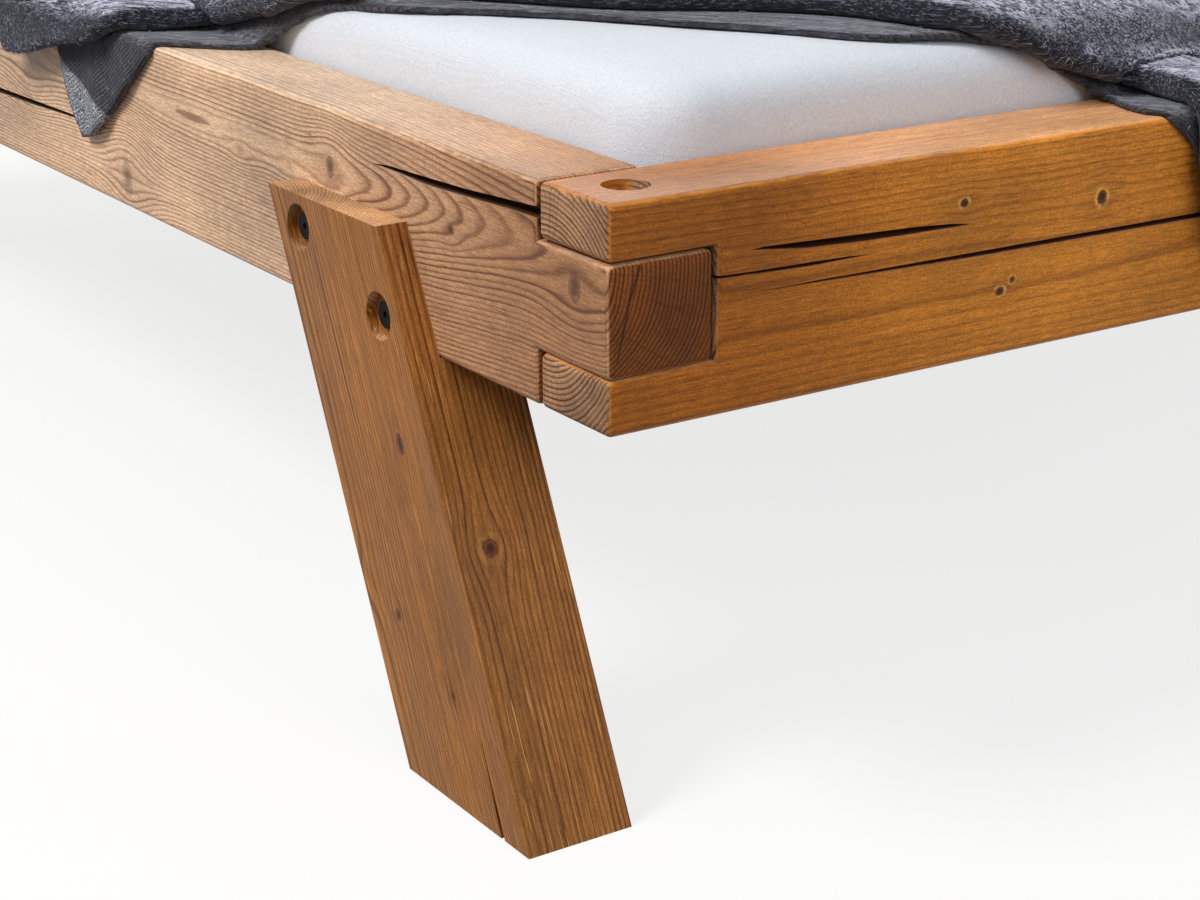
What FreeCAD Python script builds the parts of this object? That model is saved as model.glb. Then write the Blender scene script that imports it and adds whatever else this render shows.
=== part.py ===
import FreeCAD
import Part
import Sketcher
import math
import os
import re

# Beam bed, millimetres. +Z is up and the floor is z = 0. X runs across the bed and Y along it,
# with the foot end at -Y. The origin is on the floor, under the middle of the bed.

DRIVING_SIZES = {
    # Frame of square-sawn beams
    "inner_width": 1600,
    "inner_length": 2000,
    "beam_thickness": 80,
    "beam_height": 150,
    "rail_clear_height": 314,
    "beam_edge_radius": 5,
    # Finger joint at each corner
    "finger_height": 37.5,
    "finger_gap": 1.2,
    "shoulder_gap": 2,
    # Corner bolt, its washers and nut, in round recesses above and below
    "corner_hole_diameter": 32,
    "corner_hole_depth": 24,
    "corner_bolt_diameter": 10,
    "corner_bolt_play": 1,
    "corner_bolt_tip": 3,
    "corner_washer_diameter": 30,
    "corner_washer_thickness": 2.5,
    "corner_hex_across": 17,
    "corner_head_height": 6.4,
    "corner_nut_height": 8,
    # Slanted legs
    "leg_width": 150,
    "leg_lean_angle": 25.3,
    "leg_cheek_thickness": 25,
    "leg_seat_thickness": 60,
    "leg_cheek_rise": 89,
    "leg_foot_setback": 61,
    "leg_edge_radius": 1,
    # Leg bolts, their recesses and their threaded inserts
    "leg_hole_diameter": 35,
    "leg_hole_depth": 8,
    "leg_upper_hole_setback": 370,
    "leg_upper_hole_rise": 64,
    "leg_lower_hole_setback": 251,
    "leg_lower_hole_rise": 25,
    "leg_bolt_diameter": 8,
    "leg_bolt_play": 0.1,
    "leg_bolt_head_diameter": 20,
    "leg_bolt_head_thickness": 2.5,
    "leg_bolt_socket_across": 5,
    "leg_bolt_socket_depth": 1.8,
    "leg_bolt_grip": 36,
    "leg_insert_diameter": 14,
    "leg_insert_length": 40,
    # Cleats along the side rails
    "cleat_width": 40,
    "cleat_height": 28,
    "cleat_end_gap": 20,
    "cleat_screw_count": 8,
    "cleat_screw_length": 70,
    "cleat_screw_end_distance": 100,
    # Slats, straps and staples
    "slat_count": 18,
    "slat_width": 70,
    "slat_thickness": 18,
    "slat_side_gap": 3,
    "slat_edge_radius": 2,
    "slat_end_distance": 65,
    "strap_spacing": 1120,
    "strap_width": 20,
    "strap_thickness": 1,
    "staple_crown": 10,
    "staple_wire": 1,
    "staple_leg": 6,
    "staple_spacing": 30,
    # Centre beam in two steel hangers
    "centre_beam_width": 60,
    "centre_beam_height": 60,
    "centre_beam_end_gap": 3,
    "hanger_plate": 2.5,
    "hanger_side_play": 0.3,
    "hanger_shoe_length": 60,
    "hanger_shoe_height": 46,
    "hanger_flange_width": 28,
    "hanger_flange_rise": 14,
    "hanger_screw_length": 40,
    "hanger_screw_spacing": 18,
    # Wood screws
    "screw_diameter": 5,
    "screw_head_diameter": 10,
    "screw_head_height": 2.5,
    # Centre leg with its plate and hanger bolt
    "centre_leg_width": 60,
    "centre_plate_thickness": 3,
    "centre_plate_length": 110,
    "centre_plate_screw_setback": 12,
    "centre_plate_screw_length": 35,
    "centre_boss_diameter": 16,
    "centre_boss_height": 8,
    "centre_boss_play": 1,
    "hanger_bolt_diameter": 8,
    "hanger_bolt_bite": 50,
    # Levelling foot
    "foot_insert_diameter": 14,
    "foot_insert_length": 30,
    "foot_screw_diameter": 10,
    "foot_screw_play": 0.1,
    "foot_screw_reach": 38,
    "foot_screw_room": 14,
    "foot_screw_room_play": 1,
    "foot_hex_across": 17,
    "foot_hex_height": 6,
    "foot_pad_diameter": 40,
    "foot_pad_height": 8,
    "foot_travel_up": 12,
    # Mattress and fitted sheet
    "mattress_thickness": 154,
    "mattress_side_gap": 5,
    "mattress_corner_radius": 55,
    "sheet_thickness": 1.2,
    "soft_gap": 0.3,
    "sheet_hem": 80,
    # Throw, folded double
    "throw_thickness": 12,
    "throw_roll_diameter": 18,
    "throw_roll_setback": 40,
    "throw_side_crossing": 662,
    "throw_side_inner_crossing": 604,
    "throw_side_far_crossing": 1040,
    "throw_end_crossing": 478,
    "throw_end_far_crossing": 1020,
    "throw_tip_setback": 800,
    "throw_tip_drop": 98,
    "throw_roll_end_setback": 990,
    "throw_roll_end_drop": 45,
    "throw_end_drop": 250,
    "throw_end_drop_crossing": 665,
    "throw_depth": 880,
    "throw_fold_count": 3,
    "throw_fold_depth": 7,
    # Drying cracks, the larger ones that the photographed beams have
    "crack_depth": 16,
    "side_crack_length": 223,
    "side_crack_width": 8.4,
    "side_crack_height": 128.7,
    "side_crack_fall": 7.7,
    "long_crack_setback": 762,
    "long_crack_length": 820,
    "long_crack_width": 6,
    "long_crack_height": 64,
    "long_crack_fall": 22,
    "upper_crack_setback": 107,
    "upper_crack_length": 192,
    "upper_crack_width": 5.4,
    "upper_crack_height": 106.4,
    "upper_crack_fall": 9.2,
    "notch_crack_length": 128,
    "notch_crack_width": 2.9,
    "notch_crack_height": 92.3,
    "notch_crack_fall": 3.2,
    "lower_crack_setback": 110,
    "lower_crack_length": 790,
    "lower_crack_width": 4,
    "lower_crack_height": 78,
    "lower_crack_fall": 8,
    "leg_crack_length": 97,
    "leg_crack_width": 5,
    "leg_crack_setback": 29,
    # Cuts run past what they cut by this much
    "overrun": 5,
}

doc = FreeCAD.newDocument("BeamBed")
sheet = doc.addObject("Spreadsheet::Sheet", "Sizes")
for row, (alias, size) in enumerate(DRIVING_SIZES.items(), 1):
    sheet.set("A%d" % row, alias)
    sheet.set("B%d" % row, str(size))
    sheet.setAlias("B%d" % row, alias)
doc.recompute()


# Expressions and values

def sized(text):
    """The expression with each size name read from the sheet."""
    def read(match):
        word = match.group()
        return "Sizes." + word if word in DRIVING_SIZES else word
    return re.sub(r"[a-z_]+", read, "(%s)" % text)


def value(text):
    return float(sheet.evalExpression(sized(text)))


def bind(item, **expressions):
    for prop, text in expressions.items():
        item.setExpression(prop.replace("__", "."), sized(text))


def place(item, x="0", y="0", z="0"):
    bind(item, Placement__Base__x=x, Placement__Base__y=y, Placement__Base__z=z)


# Places that several pieces share

HALF_WIDTH = "(inner_width / 2 + beam_thickness)"
HALF_LENGTH = "(inner_length / 2 + beam_thickness)"
RAIL_TOP = "(rail_clear_height + beam_height)"
CLEAT_TOP = "(rail_clear_height + cleat_height)"
SLAT_TOP = "(rail_clear_height + cleat_height + slat_thickness)"
MATTRESS_BOTTOM = "(%s + sheet_thickness + 2 * soft_gap)" % SLAT_TOP
SHEET_TOP = "(%s + mattress_thickness + soft_gap + sheet_thickness)" % MATTRESS_BOTTOM
CENTRE_BEAM_BOTTOM = "(%s - centre_beam_height)" % CLEAT_TOP
CENTRE_LEG_TOP = "(%s - centre_plate_thickness)" % CENTRE_BEAM_BOTTOM
CENTRE_LEG_BOTTOM = "(foot_pad_height + foot_hex_height + foot_travel_up)"
LEG_HOLES = (
    ("leg_upper_hole_setback", "leg_upper_hole_rise"),
    ("leg_lower_hole_setback", "leg_lower_hole_rise"),
)
CORNERS = [(across, along) for across in (-1, 1) for along in (-1, 1)]


# Sketches and features of a body

def new_body(name):
    body = doc.addObject("PartDesign::Body", name)
    body.Label = name
    return body


def new_sketch(body, plane, offset="0"):
    origin_plane = [item for item in body.Origin.OriginFeatures if item.Role == plane + "_Plane"][0]
    sketch = body.newObject("Sketcher::SketchObject", body.Name + "_sketch")
    sketch.AttachmentSupport = [(origin_plane, "")]
    sketch.MapMode = "FlatFace"
    bind(sketch, AttachmentOffset__Base__z=offset)
    return sketch


def draw_outline(sketch, points):
    """A closed outline of straight lines, each corner held at its own two expressions."""
    places = [FreeCAD.Vector(value(across), value(up), 0) for across, up in points]
    first = sketch.GeometryCount
    count = len(points)
    for number, start in enumerate(places):
        sketch.addGeometry(Part.LineSegment(start, places[(number + 1) % count]))
    for number, (across, up) in enumerate(points):
        line = first + number
        after = first + (number + 1) % count
        sketch.addConstraint(Sketcher.Constraint("Coincident", line, 2, after, 1))
        hold(sketch, "DistanceX", line, 1, across)
        hold(sketch, "DistanceY", line, 1, up)


def draw_circle(sketch, across, up, diameter):
    centre = FreeCAD.Vector(value(across), value(up), 0)
    circle = sketch.addGeometry(Part.Circle(centre, FreeCAD.Vector(0, 0, 1), value(diameter) / 2))
    hold(sketch, "DistanceX", circle, 3, across)
    hold(sketch, "DistanceY", circle, 3, up)
    size = sketch.addConstraint(Sketcher.Constraint("Diameter", circle, value(diameter)))
    sketch.setExpression("Constraints[%d]" % size, sized(diameter))


def hold(sketch, kind, item, point, text):
    made = sketch.addConstraint(Sketcher.Constraint(kind, -1, 1, item, point, value(text)))
    sketch.setExpression("Constraints[%d]" % made, sized(text))


def add_pad(body, sketch, length, midplane=False):
    pad = body.newObject("PartDesign::Pad", body.Name + "_pad")
    pad.Profile = sketch
    pad.Midplane = midplane
    bind(pad, Length=length)
    doc.recompute()


def add_pocket(body, sketch, depth, along_normal=False):
    """A pocket that cuts against the sketch's normal, or along it, and must take wood away."""
    before = body.Shape.Volume
    pocket = body.newObject("PartDesign::Pocket", body.Name + "_pocket")
    pocket.Profile = sketch
    pocket.Reversed = along_normal
    bind(pocket, Length=depth)
    doc.recompute()
    if body.Shape.Volume >= before:
        raise RuntimeError(body.Name + " has a pocket that cuts nothing")


def round_edges(body, radius, wanted):
    """Fillets the edges of the body that the test wants."""
    names = []
    for number, edge in enumerate(body.Shape.Edges, 1):
        if wanted(edge):
            names.append("Edge%d" % number)
    base = body.Tip
    fillet = body.newObject("PartDesign::Fillet", body.Name + "_fillet")
    fillet.Base = (base, names)
    bind(fillet, Radius=radius)
    doc.recompute()


def ends_of(edge):
    return edge.Vertexes[0].Point, edge.Vertexes[-1].Point


def near(first, second):
    return abs(first - second) < 1e-6


# Solids of Part, and groups of them

def cylinder(name, diameter, length, x="0", y="0", z="0", axis=(0, 0, 1)):
    item = doc.addObject("Part::Cylinder", name)
    bind(item, Radius="(%s) / 2" % diameter, Height=length)
    item.Placement.Rotation = FreeCAD.Rotation(FreeCAD.Vector(0, 0, 1), FreeCAD.Vector(*axis))
    place(item, x, y, z)
    return item


def cone(name, bottom, top, height, x="0", y="0", z="0", axis=(0, 0, 1)):
    item = doc.addObject("Part::Cone", name)
    bind(item, Radius1="(%s) / 2" % bottom, Radius2="(%s) / 2" % top, Height=height)
    item.Placement.Rotation = FreeCAD.Rotation(FreeCAD.Vector(0, 0, 1), FreeCAD.Vector(*axis))
    place(item, x, y, z)
    return item


def box(name, length, width, height, x="0", y="0", z="0"):
    """A box that is centred on x and y and stands on z."""
    item = doc.addObject("Part::Box", name)
    bind(item, Length=length, Width=width, Height=height)
    place(item, "%s - (%s) / 2" % (x, length), "%s - (%s) / 2" % (y, width), z)
    return item


def hexagon(name, across_flats, height, x="0", y="0", z="0", axis=(0, 0, 1)):
    item = doc.addObject("Part::Prism", name)
    item.Polygon = 6
    bind(item, Circumradius="(%s) / 2 / cos(30 deg)" % across_flats, Height=height)
    item.Placement.Rotation = FreeCAD.Rotation(FreeCAD.Vector(0, 0, 1), FreeCAD.Vector(*axis))
    place(item, x, y, z)
    return item


def fuse(name, items):
    made = doc.addObject("Part::MultiFuse", name)
    made.Shapes = items
    made.Refine = True
    return made


def group(name, items):
    made = doc.addObject("Part::Compound", name)
    made.Label = name
    made.Links = items
    return made


def cut(name, base, tools):
    made = doc.addObject("Part::Cut", name)
    made.Base = base
    made.Tool = group(name + "_tools", tools) if len(tools) > 1 else tools[0]
    made.Label = name
    return made


SUBPARTS = []


def keep(item):
    SUBPARTS.append(item)
    return item


# Wood screws, with their shank along the axis from a surface at x, y, z

def sunk_screw(name, length, x, y, z, axis):
    """A countersunk head, flush with the surface, that narrows into a plain shank."""
    head = cone(name + "_head", "screw_head_diameter", "screw_diameter", "screw_head_height", x, y, z, axis)
    shank = cylinder(name + "_shank", "screw_diameter", length, x, y, z, axis)
    return fuse(name, [head, shank])


def pan_screw(name, length, x, y, z, axis):
    """A flat round head that lies on the surface, over a plain shank."""
    outward = tuple(-part for part in axis)
    head = cylinder(name + "_head", "screw_head_diameter", "screw_head_height", x, y, z, outward)
    shank = cylinder(name + "_shank", "screw_diameter", length, x, y, z, axis)
    return fuse(name, [head, shank])


def screws_at(make, name, length, places, axis):
    return [make("%s_%d" % (name, number), length, *place_at, axis) for number, place_at in enumerate(places)]


def cleat_screw_ys():
    count = int(value("cleat_screw_count"))
    start = "(-inner_length / 2 + cleat_end_gap + cleat_screw_end_distance)"
    return ["%s * (1 - 2 * %d / (cleat_screw_count - 1))" % (start, number) for number in range(count)]


# Drying cracks: each outline is a spine with a width, and opens or closes along its length

SPINDLE_SHARES = [(0, 0), (0.06, 0.35), (0.25, 0.9), (0.5, 1), (0.72, 0.85), (0.88, 0.5), (1, 0)]
WIDENING_SHARES = [(0, 0), (0.12, 0.35), (0.35, 0.7), (0.6, 0.68), (0.8, 0.78), (1, 1)]
NARROWING_SHARES = [(0, 0), (0.15, 0.6), (0.38, 1), (0.7, 0.66), (1, 0.62)]
WANDER_SHARES = [0, 0.06, -0.12, -0.08, 0.05, 0.08, 0]


def crack_outline(start, length, width, height, fall, shares):
    """Points of a crack from its start along its length; its spine falls and wanders a little."""
    upper, lower = [], []
    for (along, open_share), wander in zip(shares, WANDER_SHARES):
        across = "%s + %s * (%s)" % (start, along, length)
        spine = "%s - (%s) * %s + (%s) * %s" % (height, fall, along, width, wander)
        if open_share == 0:
            upper.append((across, spine))
            continue
        upper.append((across, "%s + (%s) * %s / 2" % (spine, width, open_share)))
        lower.append((across, "%s - (%s) * %s / 2" % (spine, width, open_share)))
    return upper + lower[::-1]


def add_crack(body, plane, face, outline, along_normal):
    sketch = new_sketch(body, plane, face)
    draw_outline(sketch, outline)
    add_pocket(body, sketch, "crack_depth", along_normal)


# Side rail: its frame has the outer face at -X, the foot end at -Y and z = 0 at its bottom

def side_rail(name, cracked):
    body = new_body(name)
    tongue_low = "finger_height"
    tongue_high = "(beam_height - finger_height - finger_gap)"
    shoulder = "(inner_length / 2 - shoulder_gap)"
    points = []
    for side in ("-", ""):
        ends = [(shoulder, "0"), (shoulder, tongue_low), (HALF_LENGTH, tongue_low),
                (HALF_LENGTH, tongue_high), (shoulder, tongue_high), (shoulder, "beam_height")]
        if side:
            ends.reverse()
        points += [(side + across, up) for across, up in ends]
    outline = new_sketch(body, "YZ")
    draw_outline(outline, points)
    add_pad(body, outline, "beam_thickness", midplane=True)
    round_beam(body, 0, value(shoulder), (value(tongue_low), value(tongue_high)))
    hole = new_sketch(body, "XY")
    for side in ("-", ""):
        draw_circle(hole, "0", "%s(inner_length + beam_thickness) / 2" % side,
                    "corner_bolt_diameter + corner_bolt_play")
    add_pocket(body, hole, "beam_height", along_normal=True)
    inserts = new_sketch(body, "YZ", "-beam_thickness / 2")
    for setback, rise in LEG_HOLES:
        for side in ("-", ""):
            draw_circle(inserts, "%s(%s - %s)" % (side, HALF_LENGTH, setback), rise, "leg_insert_diameter")
    add_pocket(body, inserts, "leg_insert_length", along_normal=True)
    pilots = new_sketch(body, "YZ", "beam_thickness / 2")
    for y in cleat_screw_ys():
        draw_circle(pilots, y, "cleat_height / 2", "screw_diameter")
    add_pocket(body, pilots, "cleat_screw_length - cleat_width")
    if cracked:
        near_crack = crack_outline(
            "-(inner_length / 2 - side_crack_length)", "-(side_crack_length + overrun)",
            "side_crack_width", "side_crack_height - side_crack_fall", "-side_crack_fall", WIDENING_SHARES)
        add_crack(body, "YZ", "-beam_thickness / 2", near_crack, True)
        long_crack = crack_outline(
            "-(%s - long_crack_setback)" % HALF_LENGTH, "long_crack_length",
            "long_crack_width", "long_crack_height", "long_crack_fall", SPINDLE_SHARES)
        add_crack(body, "YZ", "-beam_thickness / 2", long_crack, True)
    return keep(body)


def round_beam(body, thickness_axis, root, root_heights):
    """Rounds a beam's outline on both faces and its outward corners, but not the roots of its joint."""
    half = value("beam_thickness / 2")
    length_axis = 1 - thickness_axis

    def wanted(edge):
        start, end = ends_of(edge)
        on_face = near(abs(start[thickness_axis]), half) and near(start[thickness_axis], end[thickness_axis])
        across = near(start[length_axis], end[length_axis]) and near(start[2], end[2])
        at_root = near(abs(start[length_axis]), root) and any(near(start[2], up) for up in root_heights)
        return on_face or (across and not at_root)

    round_edges(body, "beam_edge_radius", wanted)


# End rail: its frame has the outer face at -Y, the photographed side at -X and z = 0 at its bottom

def end_rail(name, cracked):
    body = new_body(name)
    notch_low = "finger_height"
    notch_high = "(beam_height - finger_height)"
    root = "(inner_width / 2 - shoulder_gap)"
    points = []
    for side in ("-", ""):
        ends = [(HALF_WIDTH, "0"), (HALF_WIDTH, notch_low), (root, notch_low),
                (root, notch_high), (HALF_WIDTH, notch_high), (HALF_WIDTH, "beam_height")]
        if side:
            ends.reverse()
        points += [(side + across, up) for across, up in ends]
    outline = new_sketch(body, "XZ")
    draw_outline(outline, points)
    add_pad(body, outline, "beam_thickness", midplane=True)
    round_beam(body, 1, value(root), (value(notch_low), value(notch_high)))
    bolt_hole = new_sketch(body, "XY")
    top_recess = new_sketch(body, "XY", "beam_height")
    low_recess = new_sketch(body, "XY")
    for side in ("-", ""):
        across = "%s(inner_width + beam_thickness) / 2" % side
        draw_circle(bolt_hole, across, "0", "corner_bolt_diameter + corner_bolt_play")
        draw_circle(top_recess, across, "0", "corner_hole_diameter")
        draw_circle(low_recess, across, "0", "corner_hole_diameter")
    add_pocket(body, bolt_hole, "beam_height", along_normal=True)
    add_pocket(body, top_recess, "corner_hole_depth")
    add_pocket(body, low_recess, "corner_hole_depth", along_normal=True)
    pilots = new_sketch(body, "XZ", "-beam_thickness / 2")
    for x, up in hanger_screw_places():
        draw_circle(pilots, x, "%s - rail_clear_height" % up, "screw_diameter")
    add_pocket(body, pilots, "hanger_screw_length - hanger_plate", along_normal=True)
    if cracked:
        upper = crack_outline(
            "-(%s - upper_crack_setback)" % HALF_WIDTH, "upper_crack_length",
            "upper_crack_width", "upper_crack_height", "upper_crack_fall", SPINDLE_SHARES)
        notch = crack_outline(
            "-(inner_width / 2 - notch_crack_length)", "-(notch_crack_length + overrun)",
            "notch_crack_width", "notch_crack_height - notch_crack_fall", "-notch_crack_fall", NARROWING_SHARES)
        lower = crack_outline(
            "-(%s - lower_crack_setback)" % HALF_WIDTH, "lower_crack_length",
            "lower_crack_width", "lower_crack_height", "lower_crack_fall", SPINDLE_SHARES)
        for outline in (upper, notch, lower):
            add_crack(body, "XZ", "beam_thickness / 2", outline, False)
    return keep(body)


# Leg: its frame has y = 0 at the bed's end, z = 0 on the floor and x = 0 at the rail's outer face,
# with the cheek at -X. The foot stands nearest to the end, and the hand says which way it leans.

def leg(name, hand, cracked):
    body = new_body(name)
    lean = "tan(leg_lean_angle * 1 deg)"
    foot = "leg_foot_setback"
    width = "leg_width / cos(leg_lean_angle * 1 deg)"
    top = "(rail_clear_height + leg_cheek_rise)"
    sign = "%d * " % hand
    side = new_sketch(body, "YZ", "-leg_cheek_thickness")
    draw_outline(side, [
        (sign + "(%s)" % foot, "0"),
        (sign + "(%s + %s)" % (foot, width), "0"),
        (sign + "(%s + %s + %s * %s)" % (foot, width, top, lean), top),
        (sign + "(%s + %s * %s)" % (foot, top, lean), top)])
    add_pad(body, side, "leg_cheek_thickness + leg_seat_thickness")
    step = new_sketch(body, "XZ")
    reach = "(%s + %s + %s * %s + overrun)" % (foot, width, top, lean)
    draw_outline(step, [
        ("0", "rail_clear_height"),
        ("leg_seat_thickness + overrun", "rail_clear_height"),
        ("leg_seat_thickness + overrun", "%s + overrun" % top),
        ("0", "%s + overrun" % top)])
    add_pocket(body, step, reach, along_normal=hand < 0)
    seat = value("rail_clear_height")

    def wanted(edge):
        start, end = ends_of(edge)
        on_floor = near(start.z, 0) and near(end.z, 0)
        on_seat = near(start.z, seat) and near(end.z, seat)
        on_rail = near(start.x, 0) and near(end.x, 0)
        return not (on_floor or on_seat or on_rail)

    round_edges(body, "leg_edge_radius", wanted)
    recess = new_sketch(body, "YZ", "-leg_cheek_thickness")
    shaft = new_sketch(body, "YZ", "-leg_cheek_thickness")
    for setback, rise in LEG_HOLES:
        up = "rail_clear_height + %s" % rise
        draw_circle(recess, sign + setback, up, "leg_hole_diameter")
        draw_circle(shaft, sign + setback, up, "leg_bolt_diameter + leg_bolt_play")
    add_pocket(body, recess, "leg_hole_depth", along_normal=True)
    add_pocket(body, shaft, "leg_cheek_thickness", along_normal=True)
    if cracked:
        crack = new_sketch(body, "YZ", "-leg_cheek_thickness")
        rise = "(leg_crack_length * cos(leg_lean_angle * 1 deg))"
        near_edge = "(%s + leg_crack_setback)" % foot
        draw_outline(crack, [
            (sign + "(%s + %s * %s)" % (near_edge, rise, lean), rise),
            (sign + "%s" % near_edge, "-overrun"),
            (sign + "(%s + leg_crack_width)" % near_edge, "-overrun")])
        add_pocket(body, crack, "crack_depth", along_normal=True)
    return keep(body)


# Corner bolts, washers and nuts, four of each set

def corner_hardware():
    bolts, washers, nuts = [], [], []
    seat_top = "(%s - corner_hole_depth)" % RAIL_TOP
    seat_low = "(rail_clear_height + corner_hole_depth)"
    head_bottom = "(%s + corner_washer_thickness)" % seat_top
    nut_top = "(%s - corner_washer_thickness)" % seat_low
    bolt_bottom = "(%s - corner_nut_height - corner_bolt_tip)" % nut_top
    bore = "corner_bolt_diameter + corner_bolt_play"
    for number, (across, along) in enumerate(CORNERS):
        x = "%d * (inner_width + beam_thickness) / 2" % across
        y = "%d * (inner_length + beam_thickness) / 2" % along
        shank = cylinder("corner_shank_%d" % number, "corner_bolt_diameter",
                         "%s - %s" % (head_bottom, bolt_bottom), x, y, bolt_bottom)
        head = hexagon("corner_head_%d" % number, "corner_hex_across", "corner_head_height",
                       x, y, head_bottom)
        bolts.append(fuse("corner_bolt_%d" % number, [shank, head]))
        for place_name, bottom in (("upper", seat_top), ("lower", nut_top)):
            tag = "%s_%d" % (place_name, number)
            disc = cylinder("washer_disc_" + tag, "corner_washer_diameter", "corner_washer_thickness",
                            x, y, bottom)
            hole = cylinder("washer_hole_" + tag, bore, "corner_washer_thickness", x, y, bottom)
            washers.append(cut("washer_" + tag, disc, [hole]))
        nut_bottom = "(%s - corner_nut_height)" % nut_top
        nut = hexagon("nut_hex_%d" % number, "corner_hex_across", "corner_nut_height", x, y, nut_bottom)
        thread = cylinder("nut_bore_%d" % number, "corner_bolt_diameter", "corner_nut_height",
                          x, y, nut_bottom)
        nuts.append(cut("nut_%d" % number, nut, [thread]))
    keep(group("corner_bolts", bolts))
    keep(group("corner_washers", washers))
    keep(group("corner_nuts", nuts))


# Leg bolts and their inserts, eight of each

def leg_hardware():
    bolts, inserts = [], []
    bore = "leg_bolt_diameter + leg_bolt_play"
    for number, (across, along) in enumerate(CORNERS):
        inward = (-across, 0, 0)
        for setback, rise in LEG_HOLES:
            tag = "%d_%s" % (number, rise.split("_")[1])
            y = "%d * (%s - %s)" % (along, HALF_LENGTH, setback)
            z = "(rail_clear_height + %s)" % rise
            ledge = "%d * (%s + leg_cheek_thickness - leg_hole_depth)" % (across, HALF_WIDTH)
            head_face = "%s + %d * leg_bolt_head_thickness" % (ledge, across)
            length = "leg_cheek_thickness - leg_hole_depth + leg_bolt_grip + leg_bolt_head_thickness"
            head = cylinder("leg_head_" + tag, "leg_bolt_head_diameter", "leg_bolt_head_thickness",
                            head_face, y, z, inward)
            shank = cylinder("leg_shank_" + tag, "leg_bolt_diameter", length, head_face, y, z, inward)
            socket = hexagon("leg_socket_" + tag, "leg_bolt_socket_across", "leg_bolt_socket_depth",
                             head_face, y, z, inward)
            solid = fuse("leg_solid_" + tag, [head, shank])
            bolts.append(cut("leg_bolt_" + tag, solid, [socket]))
            outer_face = "%d * %s" % (across, HALF_WIDTH)
            sleeve = cylinder("insert_sleeve_" + tag, "leg_insert_diameter", "leg_insert_length",
                              outer_face, y, z, inward)
            thread = cylinder("insert_bore_" + tag, bore, "leg_insert_length", outer_face, y, z, inward)
            inserts.append(cut("insert_" + tag, sleeve, [thread]))
    keep(group("leg_bolts", bolts))
    keep(group("leg_bolt_inserts", inserts))


# Cleats along the side rails, and the screws that hold them

def cleats():
    screws = []
    z = "(rail_clear_height + cleat_height / 2)"
    for side, across in (("left", -1), ("right", 1)):
        x = "%d * (inner_width - cleat_width) / 2" % across
        inner_face = "%d * (inner_width / 2 - cleat_width)" % across
        outward = (across, 0, 0)
        bar = box("cleat_bar_" + side, "cleat_width", "inner_length - 2 * cleat_end_gap", "cleat_height",
                  x, "0", "rail_clear_height")
        places = [(inner_face, y, z) for y in cleat_screw_ys()]
        holes = screws_at(sunk_screw, "cleat_hole_" + side, "cleat_screw_length", places, outward)
        keep(cut("slat_cleat_" + side, bar, holes))
        screws += screws_at(sunk_screw, "cleat_screw_" + side, "cleat_screw_length", places, outward)
    keep(group("cleat_screws", screws))


# Slats with their straps and staples

def slat_y(number):
    start = "(-inner_length / 2 + slat_end_distance)"
    return "%s * (1 - 2 * %d / (slat_count - 1))" % (start, number)


def staple_legs(tag, strap, side, number, bottom, height):
    """The two legs of one staple: the strap and its side of the slat's middle are -1 or 1."""
    legs = []
    y = "%s + %d * staple_spacing / 2" % (slat_y(number), side)
    for end in (-1, 1):
        x = "%d * strap_spacing / 2 + %d * (staple_crown - staple_wire) / 2" % (strap, end)
        name = "%s_%d_%d_%d_%d" % (tag, strap + 1, side + 1, number, end + 1)
        legs.append(box(name, "staple_wire", "staple_wire", height, x, y, bottom))
    return legs


def slats():
    for number in range(int(value("slat_count"))):
        name = "slat_%02d" % (number + 1)
        bar = box(name + "_bar", "inner_width - 2 * slat_side_gap", "slat_width", "slat_thickness",
                  "0", slat_y(number), CLEAT_TOP)
        doc.recompute()
        rounded = doc.addObject("Part::Fillet", name + "_rounded")
        rounded.Base = bar
        radius = value("slat_edge_radius")
        half = value("inner_width / 2 - slat_side_gap")
        long_edges = []
        for place_number, edge in enumerate(bar.Shape.Edges, 1):
            start, end = ends_of(edge)
            if near(abs(start.x - end.x), 2 * half):
                long_edges.append((place_number, radius, radius))
        rounded.Edges = long_edges
        holes = []
        for strap, side in CORNERS:
            holes += staple_legs("slat_hole", strap, side, number, CLEAT_TOP, "staple_leg")
        keep(cut(name, rounded, holes))


def straps_and_staples():
    length = "inner_length - 2 * slat_end_distance + slat_width"
    strap_bottom = "(%s - strap_thickness)" % CLEAT_TOP
    crown_bottom = "(%s - strap_thickness - staple_wire)" % CLEAT_TOP
    count = int(value("slat_count"))
    for name, strap in (("left", -1), ("right", 1)):
        web = box("strap_web_" + name, "strap_width", length, "strap_thickness",
                  "%d * strap_spacing / 2" % strap, "0", strap_bottom)
        slits = []
        for number in range(count):
            for side in (-1, 1):
                slits += staple_legs("strap_slit", strap, side, number, strap_bottom, "strap_thickness")
        keep(cut("slat_strap_" + name, web, slits))
    staples = []
    for number in range(count):
        for strap, side in CORNERS:
            tag = "%d_%d_%d" % (number, strap + 1, side + 1)
            crown = box("staple_crown_" + tag, "staple_crown", "staple_wire", "staple_wire",
                        "%d * strap_spacing / 2" % strap,
                        "%s + %d * staple_spacing / 2" % (slat_y(number), side), crown_bottom)
            legs = staple_legs("staple_leg", strap, side, number, crown_bottom,
                               "staple_leg + strap_thickness + staple_wire")
            staples.append(fuse("staple_" + tag, [crown] + legs))
    keep(group("slat_staples", staples))


# Centre beam, hangers and their screws

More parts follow.
